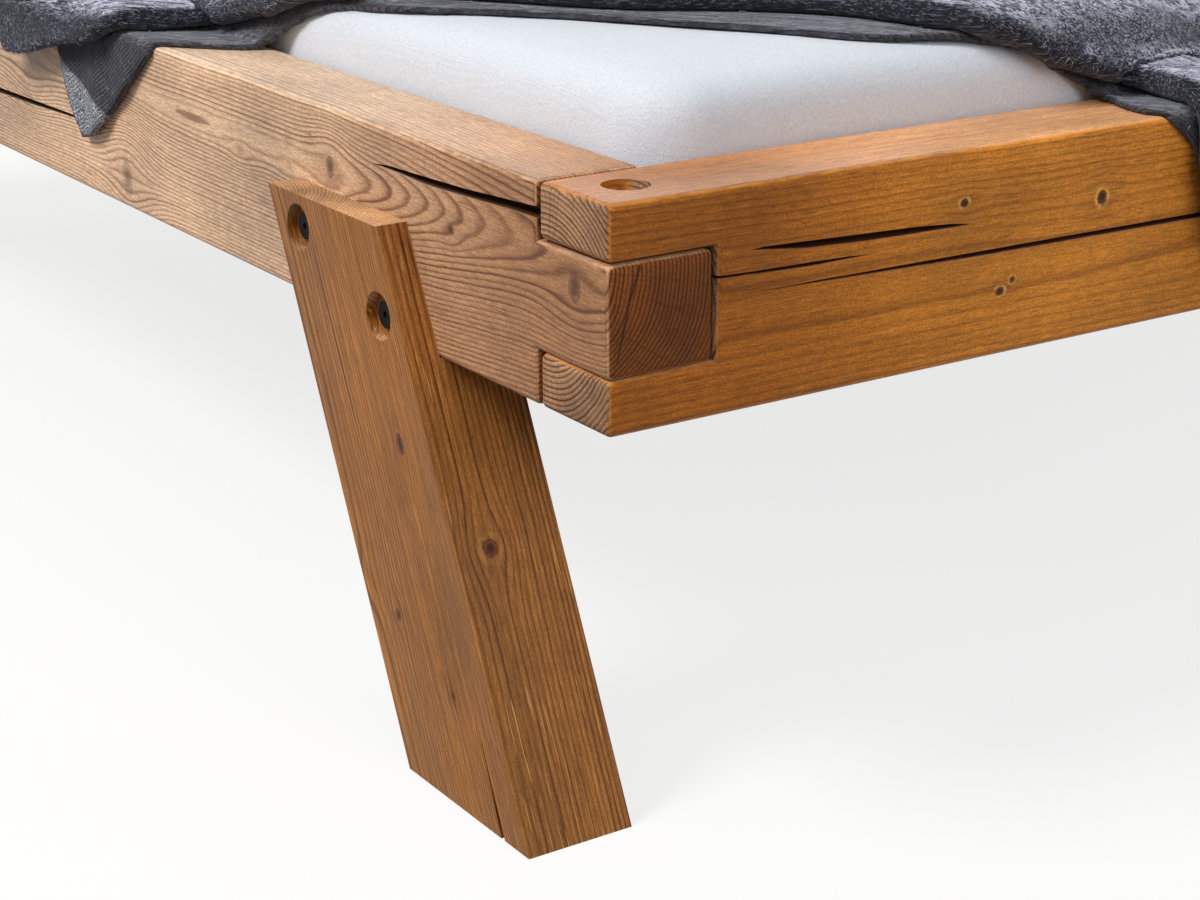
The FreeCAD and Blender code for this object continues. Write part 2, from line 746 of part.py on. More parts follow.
def hanger_screw_places():
    """Across and up, on the end rail's inner face: two screws in each flange."""
    places = []
    middle = "(centre_beam_width / 2 + hanger_side_play + hanger_plate + hanger_flange_width / 2)"
    height = "(%s + (hanger_flange_rise - cleat_height) / 2)" % CLEAT_TOP
    for side in (-1, 1):
        for step in (-1, 1):
            up = "(%s + %d * hanger_screw_spacing / 2)" % (height, step)
            places.append(("%d * %s" % (side, middle), up))
    return places


def centre_beam():
    bar = box("centre_bar", "centre_beam_width", "inner_length - 2 * centre_beam_end_gap",
              "centre_beam_height", "0", "0", CENTRE_BEAM_BOTTOM)
    boss_room = cylinder("boss_room", "centre_boss_diameter + 2 * centre_boss_play",
                         "centre_boss_height + centre_boss_play", "0", "0", CENTRE_BEAM_BOTTOM)
    holes = [boss_room]
    for number, (x, y) in enumerate(plate_screw_places()):
        holes.append(cylinder("plate_pilot_%d" % number, "screw_diameter",
                              "centre_plate_screw_length - centre_plate_thickness", x, y, CENTRE_BEAM_BOTTOM))
    keep(cut("centre_beam", bar, holes))


def hangers():
    screws = []
    inside = "(centre_beam_width / 2 + hanger_side_play)"
    bottom = "(%s - hanger_plate)" % CENTRE_BEAM_BOTTOM
    for end, along in (("foot", -1), ("head", 1)):
        rail_face = "%d * inner_length / 2" % along
        shoe_y = "%d * (inner_length - hanger_shoe_length) / 2" % along
        plate_y = "%d * (inner_length - hanger_plate) / 2" % along
        shoe = box("hanger_floor_" + end, "2 * (%s + hanger_plate)" % inside, "hanger_shoe_length",
                   "hanger_plate", "0", shoe_y, bottom)
        sides = [shoe]
        for across in (-1, 1):
            tag = "%s_%d" % (end, across + 1)
            sides.append(box("hanger_side_" + tag, "hanger_plate", "hanger_shoe_length", "hanger_shoe_height",
                             "%d * (%s + hanger_plate / 2)" % (across, inside), shoe_y, bottom))
            sides.append(box("hanger_flange_" + tag, "hanger_flange_width + hanger_plate", "hanger_plate",
                             "%s + hanger_flange_rise - %s" % (CLEAT_TOP, bottom),
                             "%d * (%s + (hanger_plate + hanger_flange_width) / 2)" % (across, inside),
                             plate_y, bottom))
        plate = fuse("hanger_plate_" + end, sides)
        face = "%s - %d * hanger_plate" % (rail_face, along)
        places = [(x, face, up) for x, up in hanger_screw_places()]
        outward = (0, along, 0)
        holes = screws_at(pan_screw, "hanger_hole_" + end, "hanger_screw_length", places, outward)
        keep(cut("beam_hanger_" + end, plate, holes))
        screws += screws_at(pan_screw, "hanger_screw_" + end, "hanger_screw_length", places, outward)
    keep(group("hanger_screws", screws))


# Centre leg, its plate, bolt and levelling foot

def plate_screw_places():
    across = "(centre_beam_width / 2 - centre_plate_screw_setback)"
    along = "(centre_plate_length / 2 - centre_plate_screw_setback)"
    return [("%d * %s" % (x, across), "%d * %s" % (y, along)) for x, y in CORNERS]


def centre_leg():
    height = "%s - %s" % (CENTRE_LEG_TOP, CENTRE_LEG_BOTTOM)
    post = box("centre_post", "centre_leg_width", "centre_leg_width", height, "0", "0", CENTRE_LEG_BOTTOM)
    bolt_bottom = "(%s - hanger_bolt_bite)" % CENTRE_LEG_TOP
    bolt_room = cylinder("bolt_room", "hanger_bolt_diameter", "hanger_bolt_bite", "0", "0", bolt_bottom)
    insert_room = cylinder("insert_room", "foot_insert_diameter", "foot_insert_length",
                           "0", "0", CENTRE_LEG_BOTTOM)
    stem_room = cylinder("stem_room", "foot_screw_diameter + foot_screw_room_play",
                         "foot_insert_length + foot_screw_room", "0", "0", CENTRE_LEG_BOTTOM)
    keep(cut("centre_leg", post, [bolt_room, insert_room, stem_room]))

    plate_flat = box("centre_plate_flat", "centre_beam_width", "centre_plate_length",
                     "centre_plate_thickness", "0", "0", CENTRE_LEG_TOP)
    boss = cylinder("centre_boss", "centre_boss_diameter", "centre_plate_thickness + centre_boss_height",
                    "0", "0", CENTRE_LEG_TOP)
    plate = fuse("centre_plate_body", [plate_flat, boss])
    thread = cylinder("centre_thread", "hanger_bolt_diameter", "centre_plate_thickness + centre_boss_height",
                      "0", "0", CENTRE_LEG_TOP)
    upward = (0, 0, 1)
    places = [(x, y, CENTRE_LEG_TOP) for x, y in plate_screw_places()]
    holes = screws_at(pan_screw, "plate_hole", "centre_plate_screw_length", places, upward)
    keep(cut("centre_leg_plate", plate, [thread] + holes))
    screws = screws_at(pan_screw, "plate_screw", "centre_plate_screw_length", places, upward)
    keep(group("centre_plate_screws", screws))
    bolt = cylinder("centre_leg_hanger_bolt", "hanger_bolt_diameter",
                    "hanger_bolt_bite + centre_plate_thickness + centre_boss_height", "0", "0", bolt_bottom)
    keep(bolt)

    sleeve = cylinder("foot_sleeve", "foot_insert_diameter", "foot_insert_length",
                      "0", "0", CENTRE_LEG_BOTTOM)
    bore = cylinder("foot_bore", "foot_screw_diameter + foot_screw_play", "foot_insert_length",
                    "0", "0", CENTRE_LEG_BOTTOM)
    keep(cut("levelling_insert", sleeve, [bore]))
    stem = cylinder("foot_stem", "foot_screw_diameter", "foot_hex_height + foot_screw_reach",
                    "0", "0", "foot_pad_height")
    collar = hexagon("foot_collar", "foot_hex_across", "foot_hex_height", "0", "0", "foot_pad_height")
    keep(fuse("levelling_screw", [stem, collar]))
    keep(cylinder("levelling_pad", "foot_pad_diameter", "foot_pad_height"))


# Mattress and fitted sheet: stacked rounded outlines, drawn in at the foot and crowned on top

MATTRESS_HEIGHT_SHARES = [0, 0.06, 0.2, 0.68, 0.82, 0.91, 0.965, 0.99, 1]
MATTRESS_INSET_SHARES = [0.2, 0.06, 0, 0, 0.06, 0.22, 0.55, 1.1, 4]


def rounded_outline(half_x, half_y, radius, z):
    """A rectangle with round corners, as a closed wire of lines and quarter circles."""
    edges = []
    corners = [(1, 1), (-1, 1), (-1, -1), (1, -1)]
    diagonal = math.sqrt(2) / 2
    for number, (sx, sy) in enumerate(corners):
        centre = FreeCAD.Vector(sx * (half_x - radius), sy * (half_y - radius), z)
        along_x = FreeCAD.Vector(sx * radius, 0, 0)
        along_y = FreeCAD.Vector(0, sy * radius, 0)
        first, last = (along_x, along_y) if number % 2 == 0 else (along_y, along_x)
        middle = FreeCAD.Vector(sx * radius * diagonal, sy * radius * diagonal, 0)
        edges.append(Part.Arc(centre + first, centre + middle, centre + last).toShape())
    wire_edges = []
    for number, arc in enumerate(edges):
        wire_edges.append(arc)
        after = edges[(number + 1) % len(edges)]
        wire_edges.append(Part.makeLine(arc.lastVertex(True).Point, after.firstVertex(True).Point))
    return Part.Wire(wire_edges)


def crowned_block(offset):
    """The mattress's form, grown outwards by the offset."""
    radius = value("mattress_corner_radius")
    thickness = value("mattress_thickness")
    bottom = value(MATTRESS_BOTTOM)
    half_x = value("inner_width / 2 - mattress_side_gap")
    half_y = value("inner_length / 2 - mattress_side_gap")
    wires = []
    for height_share, inset_share in zip(MATTRESS_HEIGHT_SHARES, MATTRESS_INSET_SHARES):
        inset = inset_share * radius - offset
        z = bottom - offset + height_share * (thickness + 2 * offset)
        wires.append(rounded_outline(half_x - inset, half_y - inset, radius, z))
    return Part.makeLoft(wires, True, True)


def feature(name, shape):
    item = doc.addObject("Part::Feature", name)
    item.Label = name
    item.Shape = shape
    return keep(item)


def mattress_and_sheet():
    feature("mattress", crowned_block(0))
    skin = crowned_block(value("soft_gap + sheet_thickness")).cut(crowned_block(value("soft_gap")))
    hem = value("sheet_hem")
    bottom = value(MATTRESS_BOTTOM) - value("soft_gap + sheet_thickness + overrun")
    opening = rounded_outline(value("inner_width / 2") - hem, value("inner_length / 2") - hem,
                              value("mattress_corner_radius"), bottom)
    depth = value("soft_gap + sheet_thickness + overrun") + value("soft_gap") / 2
    skin = skin.cut(Part.Face(opening).extrude(FreeCAD.Vector(0, 0, depth)))
    feature("fitted_sheet", skin.Solids[0])


# Throw: a double layer of wool over the mattress and both rails, with its folded edge in front

def flat_face(points):
    return Part.Face(Part.makePolygon(points + points[:1]))


def bed_point(across, along, z):
    """A point by its distance from the photographed corner: across from the side, along from the end."""
    return FreeCAD.Vector(across - value(HALF_WIDTH), along - value(HALF_LENGTH), z)


def grown(points, distance):
    """The open outline moved to its left by the distance, with mitred corners."""
    moved = []
    for number, point in enumerate(points):
        normals = []
        for start, end in ((number - 1, number), (number, number + 1)):
            if 0 <= start and end < len(points):
                run = points[end] - points[start]
                normals.append(FreeCAD.Vector(-run.y, run.x, 0).normalize())
        mean = sum(normals[1:], normals[0])
        mean.normalize()
        moved.append(point + mean * (distance / mean.dot(normals[0])))
    return moved


def wood_to_mattress():
    """The line under the cloth, as distance inwards from the rail's outer face and height.

    It starts outside, at the top of the rail's rounded edge, and ends on top of the mattress.
    """
    rail_top = value(RAIL_TOP)
    cover = value("2 * soft_gap + sheet_thickness")
    side = value("beam_thickness + mattress_side_gap")
    bottom = value(MATTRESS_BOTTOM)
    line = [FreeCAD.Vector(value("beam_edge_radius"), rail_top + value("soft_gap"), 0)]
    for height_share, inset_share in zip(MATTRESS_HEIGHT_SHARES, MATTRESS_INSET_SHARES):
        z = bottom + height_share * value("mattress_thickness") + cover * height_share
        if z > rail_top + value("throw_thickness"):
            inwards = side + inset_share * value("mattress_corner_radius") - cover
            line.append(FreeCAD.Vector(inwards, z, 0))
    line.insert(1, FreeCAD.Vector(side - value("throw_thickness"), rail_top + value("soft_gap"), 0))
    return line


def strip_section(drop, to_point):
    """The cloth's section from the mattress top down to the rail and over its outer edge."""
    centre = FreeCAD.Vector(value("beam_edge_radius"), value(RAIL_TOP) - value("beam_edge_radius"), 0)
    diagonal = math.sqrt(2) / 2
    line = wood_to_mattress()

    def run(radius, inner_line):
        """From the cloth's lower end, round the rail's edge and along the inner line."""
        low = FreeCAD.Vector(centre.x - radius, value(RAIL_TOP) - drop, 0)
        start = FreeCAD.Vector(centre.x - radius, centre.y, 0)
        middle = FreeCAD.Vector(centre.x - radius * diagonal, centre.y + radius * diagonal, 0)
        finish = FreeCAD.Vector(centre.x, centre.y + radius, 0)
        places = [to_point(spot.x, spot.y) for spot in [low, start, middle, finish] + inner_line[1:]]
        edges = [Part.makeLine(places[0], places[1]), Part.Arc(*places[1:4]).toShape()]
        edges += [Part.makeLine(first, last) for first, last in zip(places[3:], places[4:])]
        return edges, places

    radius = value("beam_edge_radius + soft_gap")
    under, under_places = run(radius, line)
    over, over_places = run(radius + value("throw_thickness"), grown(line, value("throw_thickness")))
    joins = [Part.makeLine(under_places[0], over_places[0]), Part.makeLine(under_places[-1], over_places[-1])]
    return Part.Face(Part.Wire(Part.__sortEdges__(under + over + joins)))


def throw():
    thickness = value("throw_thickness")
    gap = value("soft_gap")
    low = value(SHEET_TOP) + gap
    rail = value("beam_thickness")
    inner = rail + value("mattress_corner_radius")
    far_z = value(RAIL_TOP) - value("throw_end_drop") - value("overrun")
    tall = value(SHEET_TOP) + 4 * thickness - far_z

    front = FreeCAD.Vector(value("throw_end_crossing"), -value("throw_side_crossing"), 0)
    front.normalize()
    back = FreeCAD.Vector(-front.y, front.x, 0) * value("throw_depth")
    side_far = FreeCAD.Vector(0, value("throw_side_far_crossing"), 0)
    end_far = FreeCAD.Vector(value("throw_end_far_crossing"), 0, 0)
    side_corner = side_far + back
    end_corner = end_far + back * ((back.dot(back) - end_far.dot(back) + side_far.dot(back)) / back.dot(back))

    # Over the mattress
    top_points = [
        (inner, value("throw_side_inner_crossing") - inner),
        (value("throw_end_crossing") - inner, inner),
        (value("throw_end_far_crossing") + inner, inner),
        (end_corner.x, end_corner.y),
        (side_corner.x, side_corner.y),
        (inner, value("throw_side_far_crossing") + inner)]
    slab = flat_face([bed_point(x, y, low) for x, y in top_points])
    middle = slab.extrude(FreeCAD.Vector(0, 0, thickness))

    # Over the side rail, cut to its outline on the rail and on the outer face
    side_drop = value("throw_tip_drop")
    side_start = value("throw_side_inner_crossing") - inner
    side_end = value("throw_side_far_crossing") + inner
    section = strip_section(side_drop, lambda inwards, up: bed_point(inwards, side_start, up))
    side = section.extrude(FreeCAD.Vector(0, side_end - side_start, 0))
    lying = [
        (inner + rail, side_start),
        (rail, value("throw_side_inner_crossing")),
        (0, value("throw_side_crossing")),
        (-rail, value("throw_side_crossing")),
        (-rail, value("throw_side_far_crossing")),
        (0, value("throw_side_far_crossing")),
        (inner, side_end),
        (inner + rail, side_end)]
    outline = flat_face([bed_point(x, y, far_z) for x, y in lying])
    side = side.common(outline.extrude(FreeCAD.Vector(0, 0, tall)))
    hanging = [
        (value("throw_side_crossing"), value(RAIL_TOP)),
        (value("throw_tip_setback"), value(RAIL_TOP) - side_drop),
        ((value("throw_tip_setback") + value("throw_roll_end_setback")) / 2,
         value(RAIL_TOP) - value("throw_roll_end_drop")),
        (value("throw_roll_end_setback"), value(RAIL_TOP) - value("throw_roll_end_drop")),
        (value("throw_side_far_crossing"), value(RAIL_TOP)),
        (side_end, value(RAIL_TOP)),
        (side_end, value(RAIL_TOP) + tall),
        (side_start, value(RAIL_TOP) + tall),
        (side_start, value(RAIL_TOP))]
    outline = flat_face([bed_point(-rail, y, z) for y, z in hanging])
    side = side.common(outline.extrude(FreeCAD.Vector(inner + 3 * rail, 0, 0)))

    # Over the end rail, with soft upright folds below its edge
    end_drop = value("throw_end_drop")
    end_start = value("throw_end_crossing") - inner
    end_end = value("throw_end_far_crossing") + inner
    section = strip_section(end_drop, lambda inwards, up: bed_point(end_start, inwards, up))
    end = section.extrude(FreeCAD.Vector(end_end - end_start, 0, 0))
    lying = [
        (end_start, inner + rail),
        (value("throw_end_crossing"), rail),
        (value("throw_end_crossing"), -rail),
        (value("throw_end_far_crossing"), -rail),
        (value("throw_end_far_crossing"), 0),
        (end_end, inner),
        (end_end, inner + rail)]
    outline = flat_face([bed_point(x, y, far_z) for x, y in lying])
    end = end.common(outline.extrude(FreeCAD.Vector(0, 0, tall)))
    end = end.fuse(fold_ridges())
    drop_shape = [
        (value("throw_end_crossing"), value(RAIL_TOP)),
        (value("throw_end_drop_crossing"), value(RAIL_TOP) - end_drop),
        (value("throw_end_far_crossing"), value(RAIL_TOP)),
        (end_end, value(RAIL_TOP)),
        (end_end, value(RAIL_TOP) + tall),
        (end_start, value(RAIL_TOP) + tall),
        (end_start, value(RAIL_TOP))]
    outline = flat_face([bed_point(x, -rail, z) for x, z in drop_shape])
    end = end.common(outline.extrude(FreeCAD.Vector(0, inner + 3 * rail, 0)))

    # The folded edge in front, a little behind the lower hem
    roll = value("throw_roll_diameter")
    start = bed_point(top_points[0][0], top_points[0][1], low + roll / 2)
    finish = bed_point(top_points[1][0], top_points[1][1], low + roll / 2)
    along = finish - start
    length = along.Length
    along.normalize()
    behind = FreeCAD.Vector(-along.y, along.x, 0) * value("throw_roll_setback")
    edge = Part.makeCylinder(roll / 2, length - 2 * roll, start + behind + along * roll, along)
    whole = middle.fuse([side, end, edge]).removeSplitter()
    feature("throw", whole.Solids[0])


# A ridge's half width as a share of the pitch, and its share of the full size at the top and at the hem
FOLD_HALF_WIDTH_SHARE = 0.3
FOLD_TOP_SHARE = 0.1
FOLD_HEM_SHARE = 1


def fold_ridges():
    """Half-round ridges that grow downwards on the hanging end, one beside the other."""
    depth = value("throw_fold_depth")
    start = value("throw_end_crossing")
    finish = value("throw_end_far_crossing")
    face = -value("soft_gap + throw_thickness")
    top = value(RAIL_TOP) - value("beam_edge_radius")
    bottom = value(RAIL_TOP) - value("throw_end_drop")
    count = int(value("throw_fold_count"))
    pitch = (finish - start) / (count + 1)
    ridges = []
    for number in range(count):
        middle = start + pitch * (number + 1)
        wires = []
        for z, share in ((top, FOLD_TOP_SHARE), (bottom, FOLD_HEM_SHARE)):
            half = pitch * FOLD_HALF_WIDTH_SHARE * share
            left = bed_point(middle - half, face, z)
            right = bed_point(middle + half, face, z)
            crest = bed_point(middle, face - depth * share, z)
            back_left = bed_point(middle - half, face + depth / 2, z)
            back_right = bed_point(middle + half, face + depth / 2, z)
            wires.append(Part.Wire([
                Part.Arc(left, crest, right).toShape(), Part.makeLine(right, back_right),
                Part.makeLine(back_right, back_left), Part.makeLine(back_left, left)]))
        ridges.append(Part.makeLoft(wires, True, True))
    return ridges


# The whole bed

def turned(item, angle):
    item.Placement.Rotation = FreeCAD.Rotation(FreeCAD.Vector(0, 0, 1), angle)


def frame():
    for name, across, cracked in (("side_rail_left", -1, True), ("side_rail_right", 1, False)):
        rail = side_rail(name, cracked)
        turned(rail, 0 if across < 0 else 180)
        place(rail, "%d * (inner_width + beam_thickness) / 2" % across, "0", "rail_clear_height")
    for name, along, cracked in (("end_rail_foot", -1, True), ("end_rail_head", 1, False)):
        rail = end_rail(name, cracked)
        turned(rail, 0 if along < 0 else 180)
        place(rail, "0", "%d * (inner_length + beam_thickness) / 2" % along, "rail_clear_height")
    for side, across in (("left", -1), ("right", 1)):
        for end, along in (("foot", -1), ("head", 1)):
            item = leg("leg_%s_%s" % (end, side), across * along, across * along > 0 and along < 0)
            turned(item, 0 if across < 0 else 180)
            place(item, "%d * %s" % (across, HALF_WIDTH), "%d * %s" % (along, HALF_LENGTH))


frame()
corner_hardware()
leg_hardware()
cleats()
slats()
straps_and_staples()
centre_beam()
hangers()
centre_leg()
mattress_and_sheet()
throw()
doc.recompute()

for item in doc.Objects:
    if "Invalid" in item.State or "Error" in item.State:
        raise RuntimeError("%s failed: %s" % (item.Name, item.State))

os.makedirs("parts", exist_ok=True)
for item in SUBPARTS:
    shape = item.Shape
    if shape.isNull() or not shape.isValid() or not shape.Solids:
        raise RuntimeError(item.Label + " has no sound solid")
    shape.exportStep("parts/%s.step" % item.Label)
    print("%-24s %3d solids %14.1f mm3" % (item.Label, len(shape.Solids), shape.Volume))
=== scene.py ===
import bpy
import bmesh
import math
import numpy as np
from mathutils import Matrix, Vector


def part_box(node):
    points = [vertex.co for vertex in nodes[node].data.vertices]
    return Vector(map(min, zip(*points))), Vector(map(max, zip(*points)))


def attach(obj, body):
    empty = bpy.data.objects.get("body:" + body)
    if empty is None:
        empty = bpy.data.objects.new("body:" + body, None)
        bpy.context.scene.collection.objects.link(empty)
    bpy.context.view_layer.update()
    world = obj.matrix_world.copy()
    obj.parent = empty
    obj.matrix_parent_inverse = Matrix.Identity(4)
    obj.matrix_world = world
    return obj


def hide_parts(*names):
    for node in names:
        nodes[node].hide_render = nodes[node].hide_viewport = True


# Beam bed, metres, in the frame of the CAD model: floor at z = 0, foot end at -Y, origin under the middle.

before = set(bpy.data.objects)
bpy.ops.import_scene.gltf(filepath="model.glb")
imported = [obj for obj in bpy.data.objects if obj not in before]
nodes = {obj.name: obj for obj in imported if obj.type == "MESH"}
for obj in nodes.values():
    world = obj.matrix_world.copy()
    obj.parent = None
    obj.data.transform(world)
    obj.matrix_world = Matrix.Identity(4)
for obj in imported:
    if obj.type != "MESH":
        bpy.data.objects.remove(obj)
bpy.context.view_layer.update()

# Sizes that the CAD model has
HALF_WIDTH = 0.880
HALF_LENGTH = 1.080
RAIL_BOTTOM = 0.314
LEG_LEAN = math.radians(25.3)

ACROSS = (1, 0, 0)
ALONG = (0, 1, 0)
UP = (0, 0, 1)


def from_corner(across, along, rise):
    """A point by its distances from the photographed corner: inwards from the side and the end, and up."""
    return Vector((across - HALF_WIDTH, along - HALF_LENGTH, rise + RAIL_BOTTOM))


def add_item(name, data):
    item = bpy.data.objects.new(name, data)
    bpy.context.scene.collection.objects.link(item)
    return item


def add_mesh(name, points, faces):
    mesh = bpy.data.meshes.new(name)
    mesh.from_pydata(points, [], faces)
    mesh.update()
    return add_item(name, mesh)


def dress(item, material):
    item.data.materials.clear()
    item.data.materials.append(material)


# Camera

CAMERA_PLACE = (-1.6771, -2.2750, 0.8073)
CAMERA_LOOK = (0.5212, 0.7877, -0.3285)
CAMERA_ROLL = -0.0032
CAMERA_LENS = 73.07


def make_camera():
    data = bpy.data.cameras.new("camera")
    data.sensor_width = 36
    data.lens = CAMERA_LENS
    data.clip_start = 0.05
    data.clip_end = 60
    item = add_item("camera", data)
    look = Vector(CAMERA_LOOK).to_track_quat("-Z", "Y").to_matrix()
    turned = look @ Matrix.Rotation(CAMERA_ROLL, 3, "Z")
    item.matrix_world = Matrix.Translation(CAMERA_PLACE) @ turned.to_4x4()
    bpy.context.scene.camera = item


# Node trees

def tone(red, green, blue):
    """A colour given as 0 to 255 sRGB, as the linear colour that the nodes take."""
    parts = []
    for part in (red, green, blue):
        share = part / 255
        parts.append(share / 12.92 if share <= 0.04045 else ((share + 0.055) / 1.055) ** 2.4)
    return (*parts, 1)


def darker(colour, share):
    return tone(*[part * share for part in colour])


class Nodes:
    """The nodes of a material or a world, built by calls that take sockets or plain values."""

    def __init__(self, holder):
        holder.use_nodes = True
        self.holder = holder
        self.nodes = holder.node_tree.nodes
        self.links = holder.node_tree.links
        self.nodes.clear()

    def node(self, kind, **settings):
        made = self.nodes.new(kind)
        for key, setting in settings.items():
            setattr(made, key, setting)
        return made

    def feed(self, socket, given):
        if isinstance(given, bpy.types.NodeSocket):
            self.links.new(given, socket)
        else:
            socket.default_value = given

    def fed(self, made, **inputs):
        """The node with its named inputs fed. An underline in a name stands for a space."""
        for key, given in inputs.items():
            self.feed(made.inputs[key.replace("_", " ")], given)
        return made

    def math(self, operation, *values):
        made = self.node("ShaderNodeMath", operation=operation)
        for socket, given in zip(made.inputs, values):
            self.feed(socket, given)
        return made.outputs[0]

    def plus(self, first, second):
        return self.math("ADD", first, second)

    def minus(self, first, second):
        return self.math("SUBTRACT", first, second)

    def times(self, first, *others):
        for other in others:
            first = self.math("MULTIPLY", first, other)
        return first

    def largest(self, first, *others):
        for other in others:
            first = self.math("MAXIMUM", first, other)
        return first

    def end_in(self, kind, socket):
        output = self.node(kind)
        self.links.new(socket, output.inputs["Surface"])
        return self.holder


class Tree(Nodes):
    """A material's nodes, with the place on the piece and the surface's direction at hand."""

    def __init__(self, name):
        super().__init__(bpy.data.materials.new(name))
        self.place = self.node("ShaderNodeTexCoord").outputs["Object"]
        self.normal = self.node("ShaderNodeNewGeometry").outputs["Normal"]

    def vector(self, operation, *values):
        made = self.node("ShaderNodeVectorMath", operation=operation)
        for socket, given in zip(made.inputs, values):
            self.feed(socket, given)
        return made.outputs["Value" if operation in ("DOT_PRODUCT", "LENGTH") else "Vector"]

    def dot(self, vector, way):
        return self.vector("DOT_PRODUCT", vector, tuple(way))

    def scaled(self, vector, factor):
        made = self.node("ShaderNodeVectorMath", operation="SCALE")
        self.feed(made.inputs[0], vector)
        self.feed(made.inputs["Scale"], factor)
        return made.outputs["Vector"]

    def step(self, given, low, high, at_low=0.0, at_high=1.0):
        """A smooth step between two values."""
        made = self.node("ShaderNodeMapRange", interpolation_type="SMOOTHSTEP")
        self.fed(made, Value=given, From_Min=low, From_Max=high, To_Min=at_low, To_Max=at_high)
        return made.outputs["Result"]

    def noise(self, vector, scale, detail=2.0, roughness=0.5, distortion=0.0):
        made = self.node("ShaderNodeTexNoise")
        self.fed(made, Vector=vector, Scale=scale, Detail=detail, Roughness=roughness, Distortion=distortion)
        return made.outputs["Fac"]

    def bands(self, direction, **inputs):
        made = self.node("ShaderNodeTexWave", wave_type="BANDS", wave_profile="SIN",
                         bands_direction=direction)
        return self.fed(made, Vector=self.place, **inputs).outputs["Fac"]

    def ramp(self, factor, stops):
        """A value that runs through stops, each a place from 0 to 1 and a value."""
        made = self.node("ShaderNodeValToRGB")
        points = made.color_ramp.elements
        while len(points) < len(stops):
            points.new(0.5)
        for point, (position, shade) in zip(points, stops):
            point.position = position
            point.color = (shade, shade, shade, 1)
        self.feed(made.inputs["Fac"], factor)
        return made.outputs["Color"]

    def mix(self, factor, first, second, blend="MIX"):
        made = self.node("ShaderNodeMix", data_type="RGBA", blend_type=blend)
        self.feed(made.inputs[0], factor)
        self.feed(made.inputs[6], first)
        self.feed(made.inputs[7], second)
        return made.outputs[2]

    def tinted(self, colour, other, mask, share):
        """The colour with a share of another one where the mask is."""
        return self.mix(self.times(mask, share), colour, other)

    def drawn_out(self, way, length, stretch):
        """The place with its part along one way scaled down, so that noise on it forms streaks."""
        return self.vector("ADD", self.place, self.scaled(tuple(way), self.times(length, 1 / stretch - 1)))

    def swing(self, value, amount):
        """A noise value of about a half turned into a shift by up to half the amount to both sides."""
        return self.times(self.minus(value, 0.5), amount)

    def wobble(self, value, amount):
        """A factor of about 1 that follows a noise value."""
        return self.math("MULTIPLY_ADD", value, amount, 1 - amount / 2)

    def bump(self, height, distance, strength):
        made = self.node("ShaderNodeBump")
        return self.fed(made, Height=height, Distance=distance, Strength=strength).outputs["Normal"]

    def finish(self, **inputs):
        shader = self.fed(self.node("ShaderNodeBsdfPrincipled"), **inputs)
        return self.end_in("ShaderNodeOutputMaterial", shader.outputs["BSDF"])


# Wood

# Darkness over one year's ring, from its start to its end
YEAR = [(0, 0.25), (0.10, 0.0), (0.38, 0.05), (0.62, 0.35), (0.80, 1.0), (0.93, 0.9), (1, 0.25)]
HOLLOW_SOFT = 0.001
# Pale tone of the painted top light on faces that look up
TOP_LIGHT_TONE = (236, 214, 192)
KNOT_BROWN = (92, 48, 28)
KNOT_HEART = (44, 24, 18)
KNOT_GLOW = (250, 184, 98)
SLIVER = (230, 164, 86)
CHECK_DARK = (44, 24, 12)
# Painted shade inside the crack hollows
HOLLOW_PAINTED_SHADE = (52, 28, 15)
# Gain of the rounded edges' lighter tone: rubbed wear and a painted highlight
RUBBED_AND_HIGHLIGHT_GAIN = (1.12, 1.14, 1.16)


